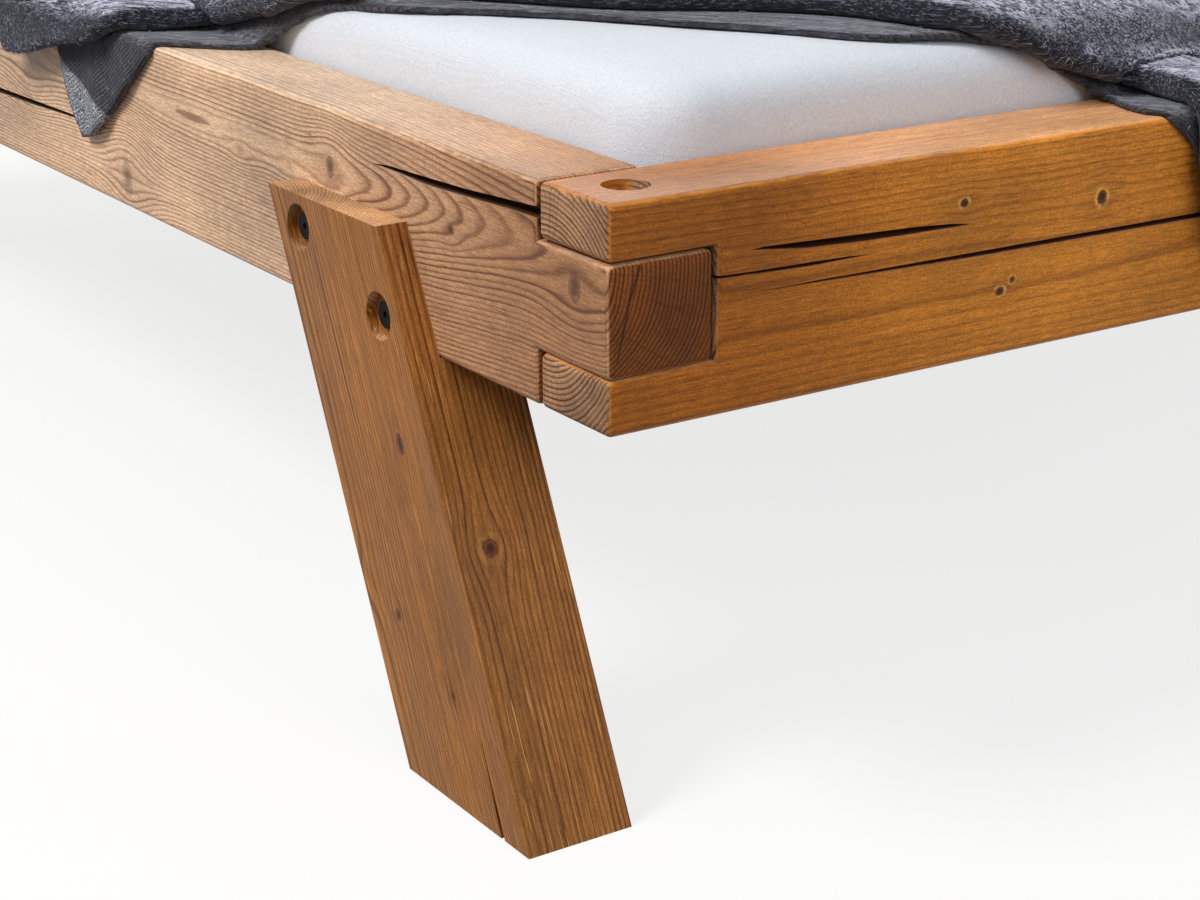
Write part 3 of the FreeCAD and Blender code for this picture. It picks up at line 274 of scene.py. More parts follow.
class Wood(Tree):
    """Spruce: annual rings about a pith line, fibres along the grain, and knots that push the rings aside.

    One pair of the piece's faces is square to the cross direction.
    """

    def __init__(self, name, grain, cross, seed):
        super().__init__(name)
        self.grain = Vector(grain).normalized()
        self.cross = Vector(cross).normalized()
        self.length = self.dot(self.place, self.grain)
        self.shift = (seed * 3.1, seed * 1.7, seed * 2.3)
        self.moved = self.vector("ADD", self.place, self.shift)
        self.slow, self.short, self.streaks = [
            self.vector("ADD", self.drawn_out(self.grain, self.length, stretch), self.shift)
            for stretch in (5, 12, 40)]
        self.grit = self.noise(self.moved, 240, 2, 0.6)
        self.fibre = self.noise(self.short, 950, 2, 0.6)
        self.coarse = self.noise(self.streaks, 330, 3, 0.6)
        self.mottle = self.noise(self.slow, 15, 3, 0.6)
        self.sideways = self.facing(self.cross)
        self.along_grain = self.facing(self.grain)
        self.end = self.step(self.along_grain, 0.55, 0.82)

    def facing(self, way):
        """How much the surface faces one direction or its opposite, from 0 to 1."""
        return self.math("ABSOLUTE", self.dot(self.normal, way))

    def add_knot(self, warped, centre, branch, radius, darkness, stretch, glow):
        """Bends the rings round a knot, whose parts are shares of its radius.

        Returns the bent place, and masks of the knot's brown, its heart and the bright ring round it.
        """
        across = self.grain.cross(Vector(branch)).normalized()
        offset = self.vector("SUBTRACT", self.place, tuple(centre))
        side = self.dot(offset, across)
        run = self.dot(offset, self.grain)
        reach_run = self.math("DIVIDE", run, radius * (2.2 + 2.2 * stretch))
        reach_side = self.math("DIVIDE", side, 3.0 * radius)
        spread = self.plus(self.times(reach_run, reach_run), self.times(reach_side, reach_side))
        push = self.math("EXPONENT", self.times(spread, -1))
        warped = self.vector("ADD", warped, self.scaled(tuple(across), self.times(side, push, -0.86)))
        short = self.math("DIVIDE", run, stretch)
        distance = self.math("SQRT", self.plus(self.times(side, side), self.times(short, short)))
        uneven = self.plus(distance, self.swing(self.grit, radius * 0.4))
        inside = self.step(uneven, radius * 1.30, radius * 0.80)
        heart = self.step(uneven, radius * 0.72, radius * 0.25)
        bright = self.times(self.step(uneven, radius * 2.0, radius * 1.6),
                            self.step(uneven, radius * 1.0, radius * 1.25),
                            self.step(self.grit, 0.40, 0.62, 0.15, 1.0), glow)
        turns = self.math("SINE", self.times(uneven, 2 * math.pi / (radius * 0.40)))
        brown = self.largest(self.times(inside, self.wobble(turns, 0.12)), self.times(push, 0.22))
        return warped, self.times(brown, darkness), self.times(heart, darkness * 0.8), bright

    def add_knots(self, knots):
        """The place with the rings bent round all knots, and the three masks of all knots together."""
        warped = self.place
        masks = None
        for knot_at in knots:
            warped, *found = self.add_knot(warped, *knot_at)
            masks = [self.largest(*pair) for pair in zip(masks, found)] if masks else found
        return warped, masks

    def rings(self, warped, pith, ring, wave, ripple, bend):
        """The way from the pith line, and a mask of the dark end of each year's ring."""
        offset = self.vector("SUBTRACT", warped, tuple(pith))
        if bend:
            start, stop, move = bend
            offset = self.vector("SUBTRACT", offset, self.scaled(move, self.step(self.length, start, stop)))
        along = self.scaled(tuple(self.grain), self.dot(offset, self.grain))
        radial = self.vector("SUBTRACT", offset, along)
        uneven = self.vector("LENGTH", radial)
        for place, scale, amount in ((self.slow, 6, wave * 2), (self.slow, 30, ripple * 2),
                                     (self.short, 260, ring * 0.22)):
            uneven = self.plus(uneven, self.swing(self.noise(place, scale), amount))
        years = self.math("DIVIDE", uneven, ring)
        year_tone = self.node("ShaderNodeTexWhiteNoise", noise_dimensions="1D")
        self.feed(year_tone.inputs["W"], self.math("FLOOR", years))
        depth = self.math("MULTIPLY_ADD", year_tone.outputs["Value"], 0.5, 0.5)
        return radial, self.times(self.ramp(self.math("FRACT", years), YEAR), depth)

    def side_colour(self, late, pale, dark, ring_depth, slivers, fade, shade_drift, streaky, knot_masks):
        """Faces along the grain: rings, dark dashes, knots, streaks and bright slivers."""
        dash = self.times(self.step(self.noise(self.streaks, 900, 1), 0.62, 0.70),
                          self.step(self.noise(self.moved, 30), 0.42, 0.60))
        colour = self.mix(self.times(late, ring_depth), tone(*pale), tone(*dark))
        colour = self.tinted(colour, darker(dark, 0.72), dash, 0.5)
        # Painted top light: faces that look up are lightened towards a pale tone, by the share that fade
        # gives
        if fade:
            top_light_mask = self.step(self.dot(self.normal, UP), 0.55, 0.95)
            colour = self.tinted(colour, self.mix(0.55, colour, tone(*TOP_LIGHT_TONE)), top_light_mask, fade)
        if knot_masks:
            colour = self.mix(knot_masks[0], colour, tone(*KNOT_BROWN))
            colour = self.mix(knot_masks[1], colour, tone(*KNOT_HEART))
        # Painted shade: a darker tint that fades out between two places along the grain
        if shade_drift:
            start, stop, tint = shade_drift
            tint = self.mix(self.step(self.length, start, stop), tone(*tint), (1, 1, 1, 1))
            colour = self.mix(1.0, colour, tint, "MULTIPLY")
        speck = self.noise(self.moved, 820, 2, 0.6)
        cloud = self.noise(self.moved, 8)
        shade = self.times(self.wobble(self.coarse, streaky), self.wobble(self.fibre, 1.3),
                           self.wobble(speck, 1.3), self.wobble(self.mottle, 0.8), self.wobble(cloud, 0.9))
        colour = self.mix(1.0, colour, shade, "MULTIPLY")
        sliver = self.times(self.step(self.noise(self.streaks, 640, 1, 0.4), 0.64, 0.70),
                            self.step(self.noise(self.moved, 15, 1), 0.47, 0.58),
                            self.math("MULTIPLY_ADD", self.sideways, -0.7, 1.0))
        colour = self.tinted(colour, tone(*SLIVER), sliver, slivers)
        if knot_masks:
            colour = self.mix(knot_masks[2], colour, tone(*KNOT_GLOW))
        return colour

    def end_colour(self, late, radial, pale, dark):
        """End grain, with pores and fine rays from the pith."""
        ray_way = self.vector("ADD", self.vector("NORMALIZE", radial), self.shift)
        rays = self.step(self.noise(ray_way, 34, 2, 0.6), 0.58, 0.68)
        pores = self.noise(self.moved, 760, 2, 0.7)
        colour = self.mix(self.math("POWER", late, 0.7), tone(*pale), tone(*dark))
        colour = self.tinted(colour, darker(dark, 0.6), rays, 0.25)
        shade = self.times(self.wobble(pores, 2.0), self.wobble(self.mottle, 2.0))
        return self.mix(1.0, colour, shade, "MULTIPLY")

    def rub_and_highlight_edges(self, colour, pale):
        """Rounded edges are lighter than the faces: partly rubbed wear, partly a painted highlight on the
        rounding.
        """
        third = self.facing(self.grain.cross(self.cross))
        flat = self.largest(self.along_grain, self.sideways, third)
        rounded_edge = self.times(self.step(flat, 0.895, 0.80), self.minus(1.0, self.end))
        rubbed_and_highlit = self.times(rounded_edge, self.step(self.noise(self.moved, 55, 3, 0.7), 0.34, 0.66))
        light = tone(*[min(255, part * gain) for part, gain in zip(pale, RUBBED_AND_HIGHLIGHT_GAIN)])
        return self.tinted(colour, light, rubbed_and_highlit, 0.42)

    def check(self, start, stop, width):
        """A mask of a hairline drying crack from one point to another, widest in its middle."""
        run = stop - start
        way = run.normalized()
        offset = self.vector("SUBTRACT", self.place, tuple(start))
        along = self.dot(offset, way)
        aside = self.vector("LENGTH", self.vector("SUBTRACT", offset, self.scaled(tuple(way), along)))
        share = self.math("DIVIDE", along, run.length)
        taper = self.times(share, self.minus(1, share), 4.0)
        reach = self.times(self.math("SQRT", self.largest(taper, 0.0)), width)
        reach = self.times(reach, self.math("MULTIPLY_ADD", self.coarse, 1.2, 0.3))
        return self.step(self.minus(aside, reach), 0.0004, -0.0003)

    def within(self, low, high):
        """A mask of a box with soft sides."""
        parts = self.node("ShaderNodeSeparateXYZ")
        self.feed(parts.inputs[0], self.place)
        mask = 1.0
        for socket, start, stop in zip(parts.outputs, low, high):
            mask = self.times(mask, self.step(socket, start, start + HOLLOW_SOFT),
                              self.step(socket, stop, stop - HOLLOW_SOFT))
        return mask


def wood(name, grain, pith, ring, tones, slivers, seed, fade=0.0, wave=0.012, ripple=0.002, ring_depth=0.85,
         streaky=0.7, knots=(), checks=(), hollows=(), shade_drift=None, cross=UP, bend=None):
    """A spruce material.

    Ring is the width of a year's ring, and fade is painted top light: it lightens faces that look up. Each
    knot has a centre, a branch direction, a radius, a darkness, its length along the grain by its width, and
    the strength of the bright ring round it. Drift is painted shade: two places along the grain and the
    darker tint at the first. Bend is two such places and the way by which the pith moves between them.
    Hollows are boxes whose inside is painted dark, as shade in the cracks.
    """
    tree = Wood(name, grain, cross, seed)
    (pale, dark), end_tones = tones
    warped, knot_masks = tree.add_knots(knots)
    radial, late = tree.rings(warped, pith, ring, wave, ripple, bend)
    colour = tree.side_colour(late, pale, dark, ring_depth, slivers, fade, shade_drift, streaky, knot_masks)
    colour = tree.mix(tree.end, colour, tree.end_colour(late, radial, *end_tones))
    colour = tree.rub_and_highlight_edges(colour, pale)
    height = tree.plus(tree.times(late, 0.5), tree.times(tree.fibre, 0.6))
    height = tree.plus(height, tree.times(tree.coarse, 0.4))
    for check in checks:
        line = tree.check(*check)
        colour = tree.tinted(colour, tone(*CHECK_DARK), line, 0.85)
        height = tree.minus(height, tree.times(line, 2.2))
    # Painted shade: the inside of each crack hollow is darkened, as shade falls there
    for low, high in hollows:
        colour = tree.tinted(colour, tone(*HOLLOW_PAINTED_SHADE), tree.within(low, high), 0.85)
    rough = tree.plus(tree.math("MULTIPLY_ADD", late, -0.08, 0.50), tree.swing(tree.mottle, 0.3))
    rough = tree.plus(rough, tree.times(tree.end, 0.2))
    return tree.finish(Base_Color=colour, Roughness=rough, Specular_IOR_Level=0.20,
                       Normal=tree.bump(height, 0.00045, 0.6))


def knot(across, along, rise, branch, radius, darkness, stretch, glow=0.0):
    """A knot of the photographed corner, in millimetres from it."""
    centre = from_corner(across / 1000, along / 1000, rise / 1000)
    return centre, branch, radius / 1000, darkness, stretch, glow


# The pale and the dark part of a year's ring, on faces along the grain and on end grain
# Each beam's tones are a copy of one wood: the side rails' paler, as lit by sun, the end rails' and legs'
# more orange, as in shade. This is painted light and shade.
SIDE_TONES = ((231, 193, 159), (136, 90, 55)), ((152, 86, 36), (42, 14, 3))
END_TONES = ((238, 152, 58), (150, 80, 26)), ((188, 142, 106), (54, 28, 14))
LEG_TONES = ((169, 110, 52), (84, 43, 15)), ((204, 160, 118), (150, 106, 70))
SLAT_TONES = ((216, 186, 140), (178, 138, 90)), ((200, 166, 122), (160, 122, 80))
# Darker tint of the side rails' painted shade
SIDE_PAINTED_SHADE = (206, 180, 157)


def dress_side_rails():
    knots = [
        knot(0, 38, 90, ACROSS, 10, 0.62, 0.70), knot(0, 364, 107, ACROSS, 8, 0.62, 0.75),
        knot(0, 190, 95, ACROSS, 3.0, 0.75, 1.2), knot(0, 516, 93, ACROSS, 4, 0.25, 2.2, 0.3),
        knot(0, 430, 95, ACROSS, 3.5, 0.2, 2.2, 0.3), knot(0, 745, 27, ACROSS, 16, 0.45, 0.65),
        knot(0, 965, 91, ACROSS, 12, 0.4, 1.2), knot(0, 1430, 60, ACROSS, 9, 0.6, 1.3)]
    tongue_checks = [
        (from_corner(0.0265, 0, 0.1170), from_corner(0.0155, 0, 0.0860), 0.0009),
        (from_corner(0.0165, 0, 0.0890), from_corner(0.0060, 0, 0.0480), 0.0008)]
    # Crack hollows whose inside gets painted shade
    hollows = [
        (from_corner(0.0015, 0.080, 0.119), from_corner(0.060, 0.305, 0.136)),
        (from_corner(0.0015, 0.762, 0.040), from_corner(0.060, 1.582, 0.068))]
    # Painted shade: the drift darkens this rail towards the foot end
    dress(nodes["side_rail_left"], wood(
        "wood_side_left", ALONG, from_corner(-0.045, 0, 0.112), 0.0033, SIDE_TONES, fade=0.7,
        wave=0.009, knots=knots, checks=tongue_checks, hollows=hollows, slivers=0.06, seed=1.0,
        ring_depth=1.0, shade_drift=(-1.02, -0.60, SIDE_PAINTED_SHADE), streaky=0.5,
        bend=(-1.04, -0.70, (0.030, 0, -0.008))))
    far_knots = [
        ((0.88, -0.55, 0.40), ACROSS, 0.009, 0.8, 1.2, 0),
        ((0.88, 0.31, 0.37), ACROSS, 0.006, 0.7, 1.4, 0.3),
        ((0.88, 0.82, 0.42), ACROSS, 0.011, 0.6, 1.0, 0)]
    # Painted shade: the drift darkens this rail towards the foot end
    dress(nodes["side_rail_right"], wood(
        "wood_side_right", ALONG, (0.925, 0, 0.39), 0.0034, SIDE_TONES, fade=0.7, knots=far_knots,
        slivers=0.06, seed=2.0, shade_drift=(1.0, 0.2, SIDE_PAINTED_SHADE), streaky=0.5))


def dress_end_rails():
    knots = [
        knot(415, 0, 100, ALONG, 5.0, 1.1, 0.8, 1.0), knot(287, 0, 113, ALONG, 2.8, 1.1, 1.2, 0.8),
        knot(323, 0, 46, ALONG, 2.8, 1.0, 1.3, 0.8), knot(334, 0, 53, ALONG, 2.4, 0.9, 1.0, 0.9),
        knot(905, 0, 60, ALONG, 8, 0.8, 1.1, 0.4), knot(1310, 0, 96, ALONG, 6, 0.8, 1.2, 0.4)]
    # A crack hollow whose inside gets painted shade
    hollows = [(from_corner(0.083, 0.0015, 0.070), from_corner(0.900, 0.060, 0.110))]
    shared = {"ring": 0.0036, "tones": END_TONES, "wave": 0.005, "ripple": 0.0015}
    # Painted shade: the drift darkens this rail towards its left end
    dress(nodes["end_rail_foot"], wood(
        "wood_end_foot", ACROSS, from_corner(0, 0.070, 0.066), **shared, fade=0.55, knots=knots,
        hollows=hollows, slivers=0.25, seed=3.0, ring_depth=0.6, shade_drift=(-0.80, -0.52, (205, 191, 176)),
        streaky=0.5))
    far_knots = [
        ((-0.42, 1.08, 0.40), ALONG, 0.008, 0.8, 1.2, 0.4),
        ((0.36, 1.08, 0.37), ALONG, 0.006, 0.8, 1.2, 0.4)]
    # Painted shade: the drift darkens most of this rail
    dress(nodes["end_rail_head"], wood(
        "wood_end_head", ACROSS, (0, 1.01, 0.38), **shared, fade=0.45, knots=far_knots, slivers=0.15,
        seed=4.0, ring_depth=0.45, shade_drift=(1.6, 0.8, (190, 178, 176)), streaky=0.6))


# The outer face of the photographed leg, and the floor, in millimetres from the corner
CHEEK = -25
FLOOR = -314


def dress_legs():
    seen_knots = [
        knot(CHEEK, 225, FLOOR + 252, ACROSS, 4.4, 1.0, 1.9),
        knot(CHEEK, 236, FLOOR + 119, ACROSS, 4.2, 0.8, 1.2),
        knot(CHEEK, 159, FLOOR + 84, ACROSS, 3.0, 0.8, 1.2),
        knot(3, 160, FLOOR + 188, ALONG, 6.0, 0.9, 1.1, 0.2)]
    seen_checks = [(from_corner(-0.025, 0.347, 0.053), from_corner(-0.025, 0.290, -0.066), 0.0011)]
    for number, name in enumerate(("leg_foot_left", "leg_foot_right", "leg_head_left", "leg_head_right")):
        side = -1 if "left" in name else 1
        end = -1 if "foot" in name else 1
        grain = (0, -end * math.sin(LEG_LEAN), math.cos(LEG_LEAN))
        low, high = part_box(name)
        middle = (low + high) / 2
        if number == 0:
            knots, checks = seen_knots, seen_checks
        else:
            knots = [(middle + Vector((side * 0.04, 0, -0.05 * number)), ACROSS, 0.005, 1.0, 1.7, 0),
                     (middle + Vector((0, end * 0.03, 0.06)), ALONG, 0.005, 0.9, 1.3, 0.3)]
            checks = ()
        dress(nodes[name], wood(
            "wood_" + name, grain, middle + Vector((side * 0.11, -end * 0.09, 0)), 0.0028, LEG_TONES,
            fade=0.3, wave=0.006, ripple=0.0012, knots=knots, checks=checks, slivers=0.85,
            seed=5.0 + number, ring_depth=0.88, cross=ACROSS, streaky=1.4))


def dress_slats():
    shared = {"ring": 0.0035, "tones": SLAT_TONES, "wave": 0.006, "slivers": 0.1, "ring_depth": 0.6}
    grains = {"slat_%02d" % number: ACROSS for number in range(1, 19)}
    grains.update(slat_cleat_left=ALONG, slat_cleat_right=ALONG, centre_beam=ALONG)
    for number, (name, grain) in enumerate(grains.items()):
        low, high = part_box(name)
        pith = (low + high) / 2 + Vector((0.05, 0.02, -0.06))
        dress(nodes[name], wood("wood_" + name, grain, pith, **shared, seed=20.0 + number))
    dress(nodes["centre_leg"], wood("wood_centre_leg", UP, (0.05, 0.02, 0), **shared, seed=42.0,
                                    cross=ACROSS))


# Metal, plastic and webbing

def metal(name, base, rough, scratch=0.15, metallic=1.0, gloss=0.5):
    tree = Tree(name)
    cloud = tree.noise(tree.place, 60, 3, 0.6)
    grit = tree.noise(tree.place, 1800, 2, 0.6)
    colour = tree.mix(tree.step(cloud, 0.35, 0.7), tone(*base), darker(base, 0.78))
    roughness = tree.math("MULTIPLY_ADD", tree.minus(cloud, 0.5), scratch * 2, rough)
    return tree.finish(Base_Color=colour, Metallic=metallic, Roughness=roughness, Specular_IOR_Level=gloss,
                       Normal=tree.bump(grit, 0.00008, 0.4))


def black_plastic():
    tree = Tree("black_plastic")
    grit = tree.noise(tree.place, 1400, 2, 0.6)
    colour = tree.mix(grit, tone(26, 26, 28), tone(42, 42, 45))
    return tree.finish(Base_Color=colour, Roughness=0.55, Normal=tree.bump(grit, 0.0001, 0.5))


def webbing():
    tree = Tree("webbing")
    rows = tree.bands("Y", Scale=160.0, Distortion=0.4)
    fuzz = tree.noise(tree.place, 1500, 2, 0.6)
    colour = tree.mix(rows, tone(196, 190, 178), tone(228, 223, 212))
    colour = tree.tinted(colour, tone(150, 144, 134), fuzz, 0.25)
    return tree.finish(Base_Color=colour, Roughness=0.9, Normal=tree.bump(rows, 0.0004, 0.6))


ZINC_NODES = (
    "corner_bolts", "corner_washers", "corner_nuts", "leg_bolt_inserts", "cleat_screws", "slat_staples",
    "beam_hanger_foot", "beam_hanger_head", "hanger_screws", "centre_leg_plate", "centre_plate_screws",
    "centre_leg_hanger_bolt", "levelling_insert", "levelling_screw")


def dress_hardware():
    zinc = metal("zinc", (190, 193, 198), 0.38)
    for name in ZINC_NODES:
        dress(nodes[name], zinc)
    dress(nodes["leg_bolts"], metal("blackened_steel", (12, 11, 11), 0.7, 0.1, 0.0, 0.15))
    dress(nodes["levelling_pad"], black_plastic())
    web = webbing()
    dress(nodes["slat_strap_left"], web)
    dress(nodes["slat_strap_right"], web)


# Mattress and fitted sheet: one profile from the middle of the underside to the middle of the top, run round
# an outline with round corners. Insets are measured from the sheet's side, heights from the rail's bottom.

SHEET_SIDE = 0.0835
SHEET_RADIUS = 0.056
SHEET_THICKNESS = 0.0012
SHEET_PROFILE = [
    (0.0780, 0.0466), (0.0500, 0.0465), (0.0250, 0.0466), (0.0120, 0.0472), (0.0050, 0.0500),
    (0.0015, 0.0550), (0.0004, 0.0640), (0.0002, 0.0800), (0.0, 0.1000), (0.0, 0.1200), (0.0, 0.1400),
    (0.0003, 0.1550), (0.0012, 0.1680), (0.0035, 0.1790), (0.0080, 0.1872), (0.0140, 0.1927),
    (0.0210, 0.1964), (0.0300, 0.1990), (0.0420, 0.2009), (0.0600, 0.2021), (0.0850, 0.2028),
    (0.1200, 0.2031), (0.1700, 0.2033), (0.2400, 0.2033), (0.3400, 0.2033), (0.4600, 0.2033),
    (0.5900, 0.2033), (0.7000, 0.2033), (0.7700, 0.2033)]
# The sheet is open underneath, and the core's profile goes on there
CORE_UNDERSIDE = 0.0485
CORE_INSETS = (0.76, 0.5, 0.3, 0.2, 0.14, 0.1)
CORE_GAP = 0.0012
WAVE_INSET = 0.0012
QUILT_PITCH = 0.11
SEAM_DEPTH = 0.003
GATHER_DEPTH = 0.0009
GATHER_ROWS = 3.0
LINE_STEP = 0.010
CORNER_STEPS = 12
SMALLEST_BEND = 0.004
# Each wave has an amplitude, a wavelength, a direction in degrees and a phase
SHEET_WAVES = [
    (0.0007, 0.31, 20, 0.3), (0.0006, 0.23, 75, 1.9), (0.0005, 0.17, 128, 4.2), (0.0003, 0.11, 50, 2.2),
    (0.0002, 0.071, 100, 0.9)]


def outline_points(inset):
    """A closed outline with round corners, which has the same number of points whatever the inset."""
    half_x = HALF_WIDTH - SHEET_SIDE - inset
    half_y = HALF_LENGTH - SHEET_SIDE - inset
    bend = min(max(SHEET_RADIUS - inset, SMALLEST_BEND), half_x * 0.98)
    counts = [2 * int((half - SHEET_SIDE - SHEET_RADIUS) / LINE_STEP) for half in (HALF_WIDTH, HALF_LENGTH)]
    turns = np.linspace(0, math.pi / 2, CORNER_STEPS, endpoint=False)
    centres = [np.array([side_x * (half_x - bend), side_y * (half_y - bend)])
               for side_x, side_y in ((1, 1), (-1, 1), (-1, -1), (1, -1))]
    parts = []
    for number, centre in enumerate(centres):
        angle = turns + number * math.pi / 2
        parts.append(centre + bend * np.stack([np.cos(angle), np.sin(angle)], 1))
        after = (number + 1) * math.pi / 2
        reach = bend * np.array([math.cos(after), math.sin(after)])
        start = centre + reach
        stop = centres[(number + 1) % 4] + reach
        shares = np.linspace(0, 1, counts[number % 2], endpoint=False)[:, None]
        parts.append(start + (stop - start) * shares)
    return np.concatenate(parts)


def unit(vectors):
    return vectors / (np.linalg.norm(vectors, axis=-1, keepdims=True) + 1e-12)


def wave_sum(across, along, waves):
    total = np.zeros_like(across)
    for height, length, angle, phase in waves:
        turn = math.radians(angle)
        run = across * math.cos(turn) + along * math.sin(turn)
        total += height * np.sin(run * 2 * math.pi / length + phase)
    return total


def quilt(across, along):
    """Diamond quilting of the mattress's own cover, 0 in the seams and 1 between them."""
    first = np.abs(np.sin((across + along) * math.pi / QUILT_PITCH))
    second = np.abs(np.sin((across - along) * math.pi / QUILT_PITCH))
    return np.minimum(first, second) ** 0.6


def grid_faces(rows, columns, closed=False):
    """Faces between the rows of a grid of points. In a closed one the last column meets the first."""
    faces = []
    for row in range(rows - 1):
        for column in range(columns if closed else columns - 1):
            after = (column + 1) % columns
            faces.append((row * columns + column, row * columns + after,
                          (row + 1) * columns + after, (row + 1) * columns + column))
    return faces


def block_mesh(name, profile, shrink, is_core):
    """A skin over the outlines. The core is closed and quilted, and the sheet has a gathered hem."""
    loops = []
    for inset, height in profile:
        plan = outline_points(inset)
        loops.append(np.column_stack([plan, np.full(len(plan), height + RAIL_BOTTOM)]))
    grid = np.array(loops)
    rows, count = grid.shape[:2]
    along_outline = np.roll(grid, -1, axis=1) - np.roll(grid, 1, axis=1)
    normal = unit(np.cross(along_outline, np.gradient(grid, axis=0)))
    ripple = wave_sum(grid[:, :, 0], grid[:, :, 1] + 0.7 * grid[:, :, 2], SHEET_WAVES) - WAVE_INSET
    # The sides wave more than the top and the underside
    side_share = np.array([1.0 if 0.05 < height < 0.19 else 0.55 for _, height in profile])[:, None]
    move = ripple * side_share - shrink
    if is_core:
        seams = quilt(grid[:, :, 0], grid[:, :, 1] + grid[:, :, 2])
        move = move - SEAM_DEPTH * (1 - seams)
    else:
        station = np.arange(count)[None, :]
        under = np.maximum(0.0, 1 - np.arange(rows) / GATHER_ROWS)[:, None]
        move = move + under * GATHER_DEPTH * np.sin(station * 1.35) * (1 + 0.6 * np.sin(station * 0.23))
    points = grid + normal * move[:, :, None]
    faces = grid_faces(rows, count, closed=True)
    faces.append(tuple(range((rows - 1) * count, rows * count)))
    if is_core:
        faces.append(tuple(range(count))[::-1])
    item = add_mesh(name, points.reshape(-1, 3).tolist(), faces)
    tidy = bmesh.new()
    tidy.from_mesh(item.data)
    bmesh.ops.triangulate(tidy, faces=[face for face in tidy.faces if len(face.verts) > 4])
    bmesh.ops.recalc_face_normals(tidy, faces=tidy.faces)
    tidy.to_mesh(item.data)
    tidy.free()
    for face in item.data.polygons:
        face.use_smooth = True
    return item


def jersey():
    tree = Tree("white_jersey")
    ribs = tree.bands("X", Scale=260.0, Distortion=2.5, Detail=2.0, Detail_Scale=3.0)
    loops = tree.fed(tree.node("ShaderNodeTexVoronoi"), Vector=tree.place, Scale=900).outputs["Distance"]
    pile = tree.noise(tree.place, 620, 3, 0.65)
    cloud = tree.noise(tree.place, 7, 3, 0.6)
    colour = tree.mix(tree.step(pile, 0.3, 0.72), tone(210, 217, 229), tone(231, 236, 244))
    colour = tree.tinted(colour, tone(214, 220, 232), tree.step(cloud, 0.45, 0.75), 0.35)
    height = tree.plus(tree.times(pile, 0.8), tree.times(ribs, 0.22))
    height = tree.minus(height, tree.times(loops, 0.35))
    return tree.finish(Base_Color=colour, Roughness=0.92, Sheen_Weight=0.12, Sheen_Roughness=0.5,
                       Normal=tree.bump(height, 0.0009, 0.55))


def mattress_cover():
    tree = Tree("mattress_cover")
    knit = tree.noise(tree.place, 900, 2, 0.6)
    cloud = tree.noise(tree.place, 9)
    colour = tree.mix(knit, tone(206, 204, 198), tone(232, 230, 225))
    colour = tree.tinted(colour, tone(200, 198, 190), cloud, 0.2)
    return tree.finish(Base_Color=colour, Roughness=0.95, Normal=tree.bump(knit, 0.0006, 0.5))


def mattress_and_sheet():
    core_profile = [(inset, CORE_UNDERSIDE) for inset in CORE_INSETS] + SHEET_PROFILE
    core = block_mesh("mattress_core", core_profile, SHEET_THICKNESS + CORE_GAP, True)
    dress(core, mattress_cover())
    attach(core, "bed")
    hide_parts("mattress")
    sheet = block_mesh("jersey_sheet", SHEET_PROFILE, 0.0, False)
    skin = sheet.modifiers.new("thickness", "SOLIDIFY")
    skin.thickness = SHEET_THICKNESS
    skin.offset = -1
    dress(sheet, jersey())
    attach(sheet, "bed")
    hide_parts("fitted_sheet")


# Throw: one cloth folded double. Its places are first drawn on the bed's developed surface, in millimetres
# inwards from the outer face of the side rail and of the end rail, and negative where the cloth hangs down.

RAIL_ROUND = 5.0
RAIL_HIGH = 150.0
# The cloth leaves the rail's top at the first distance inwards, and is up on the mattress after the second
CLIMB_FROM = 62
CLIMB_RUN = 48
CLIMB_HIGH = 50.5
SHEET_GAP = 0.2
# The row of the sheet's profile where its side begins to lean inwards
SHOULDER = 11
NORMAL_STEP = 1.5
SPLINE_STEPS = 24


def eased(share):
    share = np.clip(share, 0, 1)
    return share * share * (3 - 2 * share)


def sheet_height(inset):
    """Height of the fitted sheet over the rail's bottom at an inset from its side, in millimetres."""
    insets, heights = np.array(SHEET_PROFILE[SHOULDER:]).T * 1000
    return np.where(inset < 0, 0.0, np.interp(inset, insets, heights))


def climb(inwards):
    """Height of the cloth's underside where it climbs from the rail's top over the mattress's edge."""
    slope = RAIL_HIGH + CLIMB_HIGH * eased((inwards - CLIMB_FROM) / CLIMB_RUN)
    return np.maximum(slope, sheet_height(inwards - SHEET_SIDE * 1000) + SHEET_GAP)


def over_rail(run):
    """Distance inwards and height along a line that goes up the outer face and over the rounded edge."""
    half = RAIL_ROUND * math.pi / 4
    angle = np.clip((half - run) / RAIL_ROUND, 0, math.pi / 2)
    inwards = RAIL_ROUND - RAIL_ROUND * np.sin(angle) + np.maximum(run - half, 0)
    height = RAIL_HIGH - RAIL_ROUND + RAIL_ROUND * np.cos(angle) + np.minimum(run + half, 0)
    return inwards, height


def bed_surface(across, along):
    x, side_height = over_rail(across)
    y, end_height = over_rail(along)
    z = np.minimum(np.minimum(side_height, end_height), RAIL_HIGH)
    on_top = (x >= RAIL_ROUND) & (y >= RAIL_ROUND)
    z = np.where(on_top, z + (np.minimum(climb(x), climb(y)) - RAIL_HIGH), z)
    return np.stack([x, y, z], -1)


def surface_normal(across, along):
    run_x = bed_surface(across + NORMAL_STEP, along) - bed_surface(across - NORMAL_STEP, along)
    run_y = bed_surface(across, along + NORMAL_STEP) - bed_surface(across, along - NORMAL_STEP)
    return unit(np.cross(run_x, run_y))


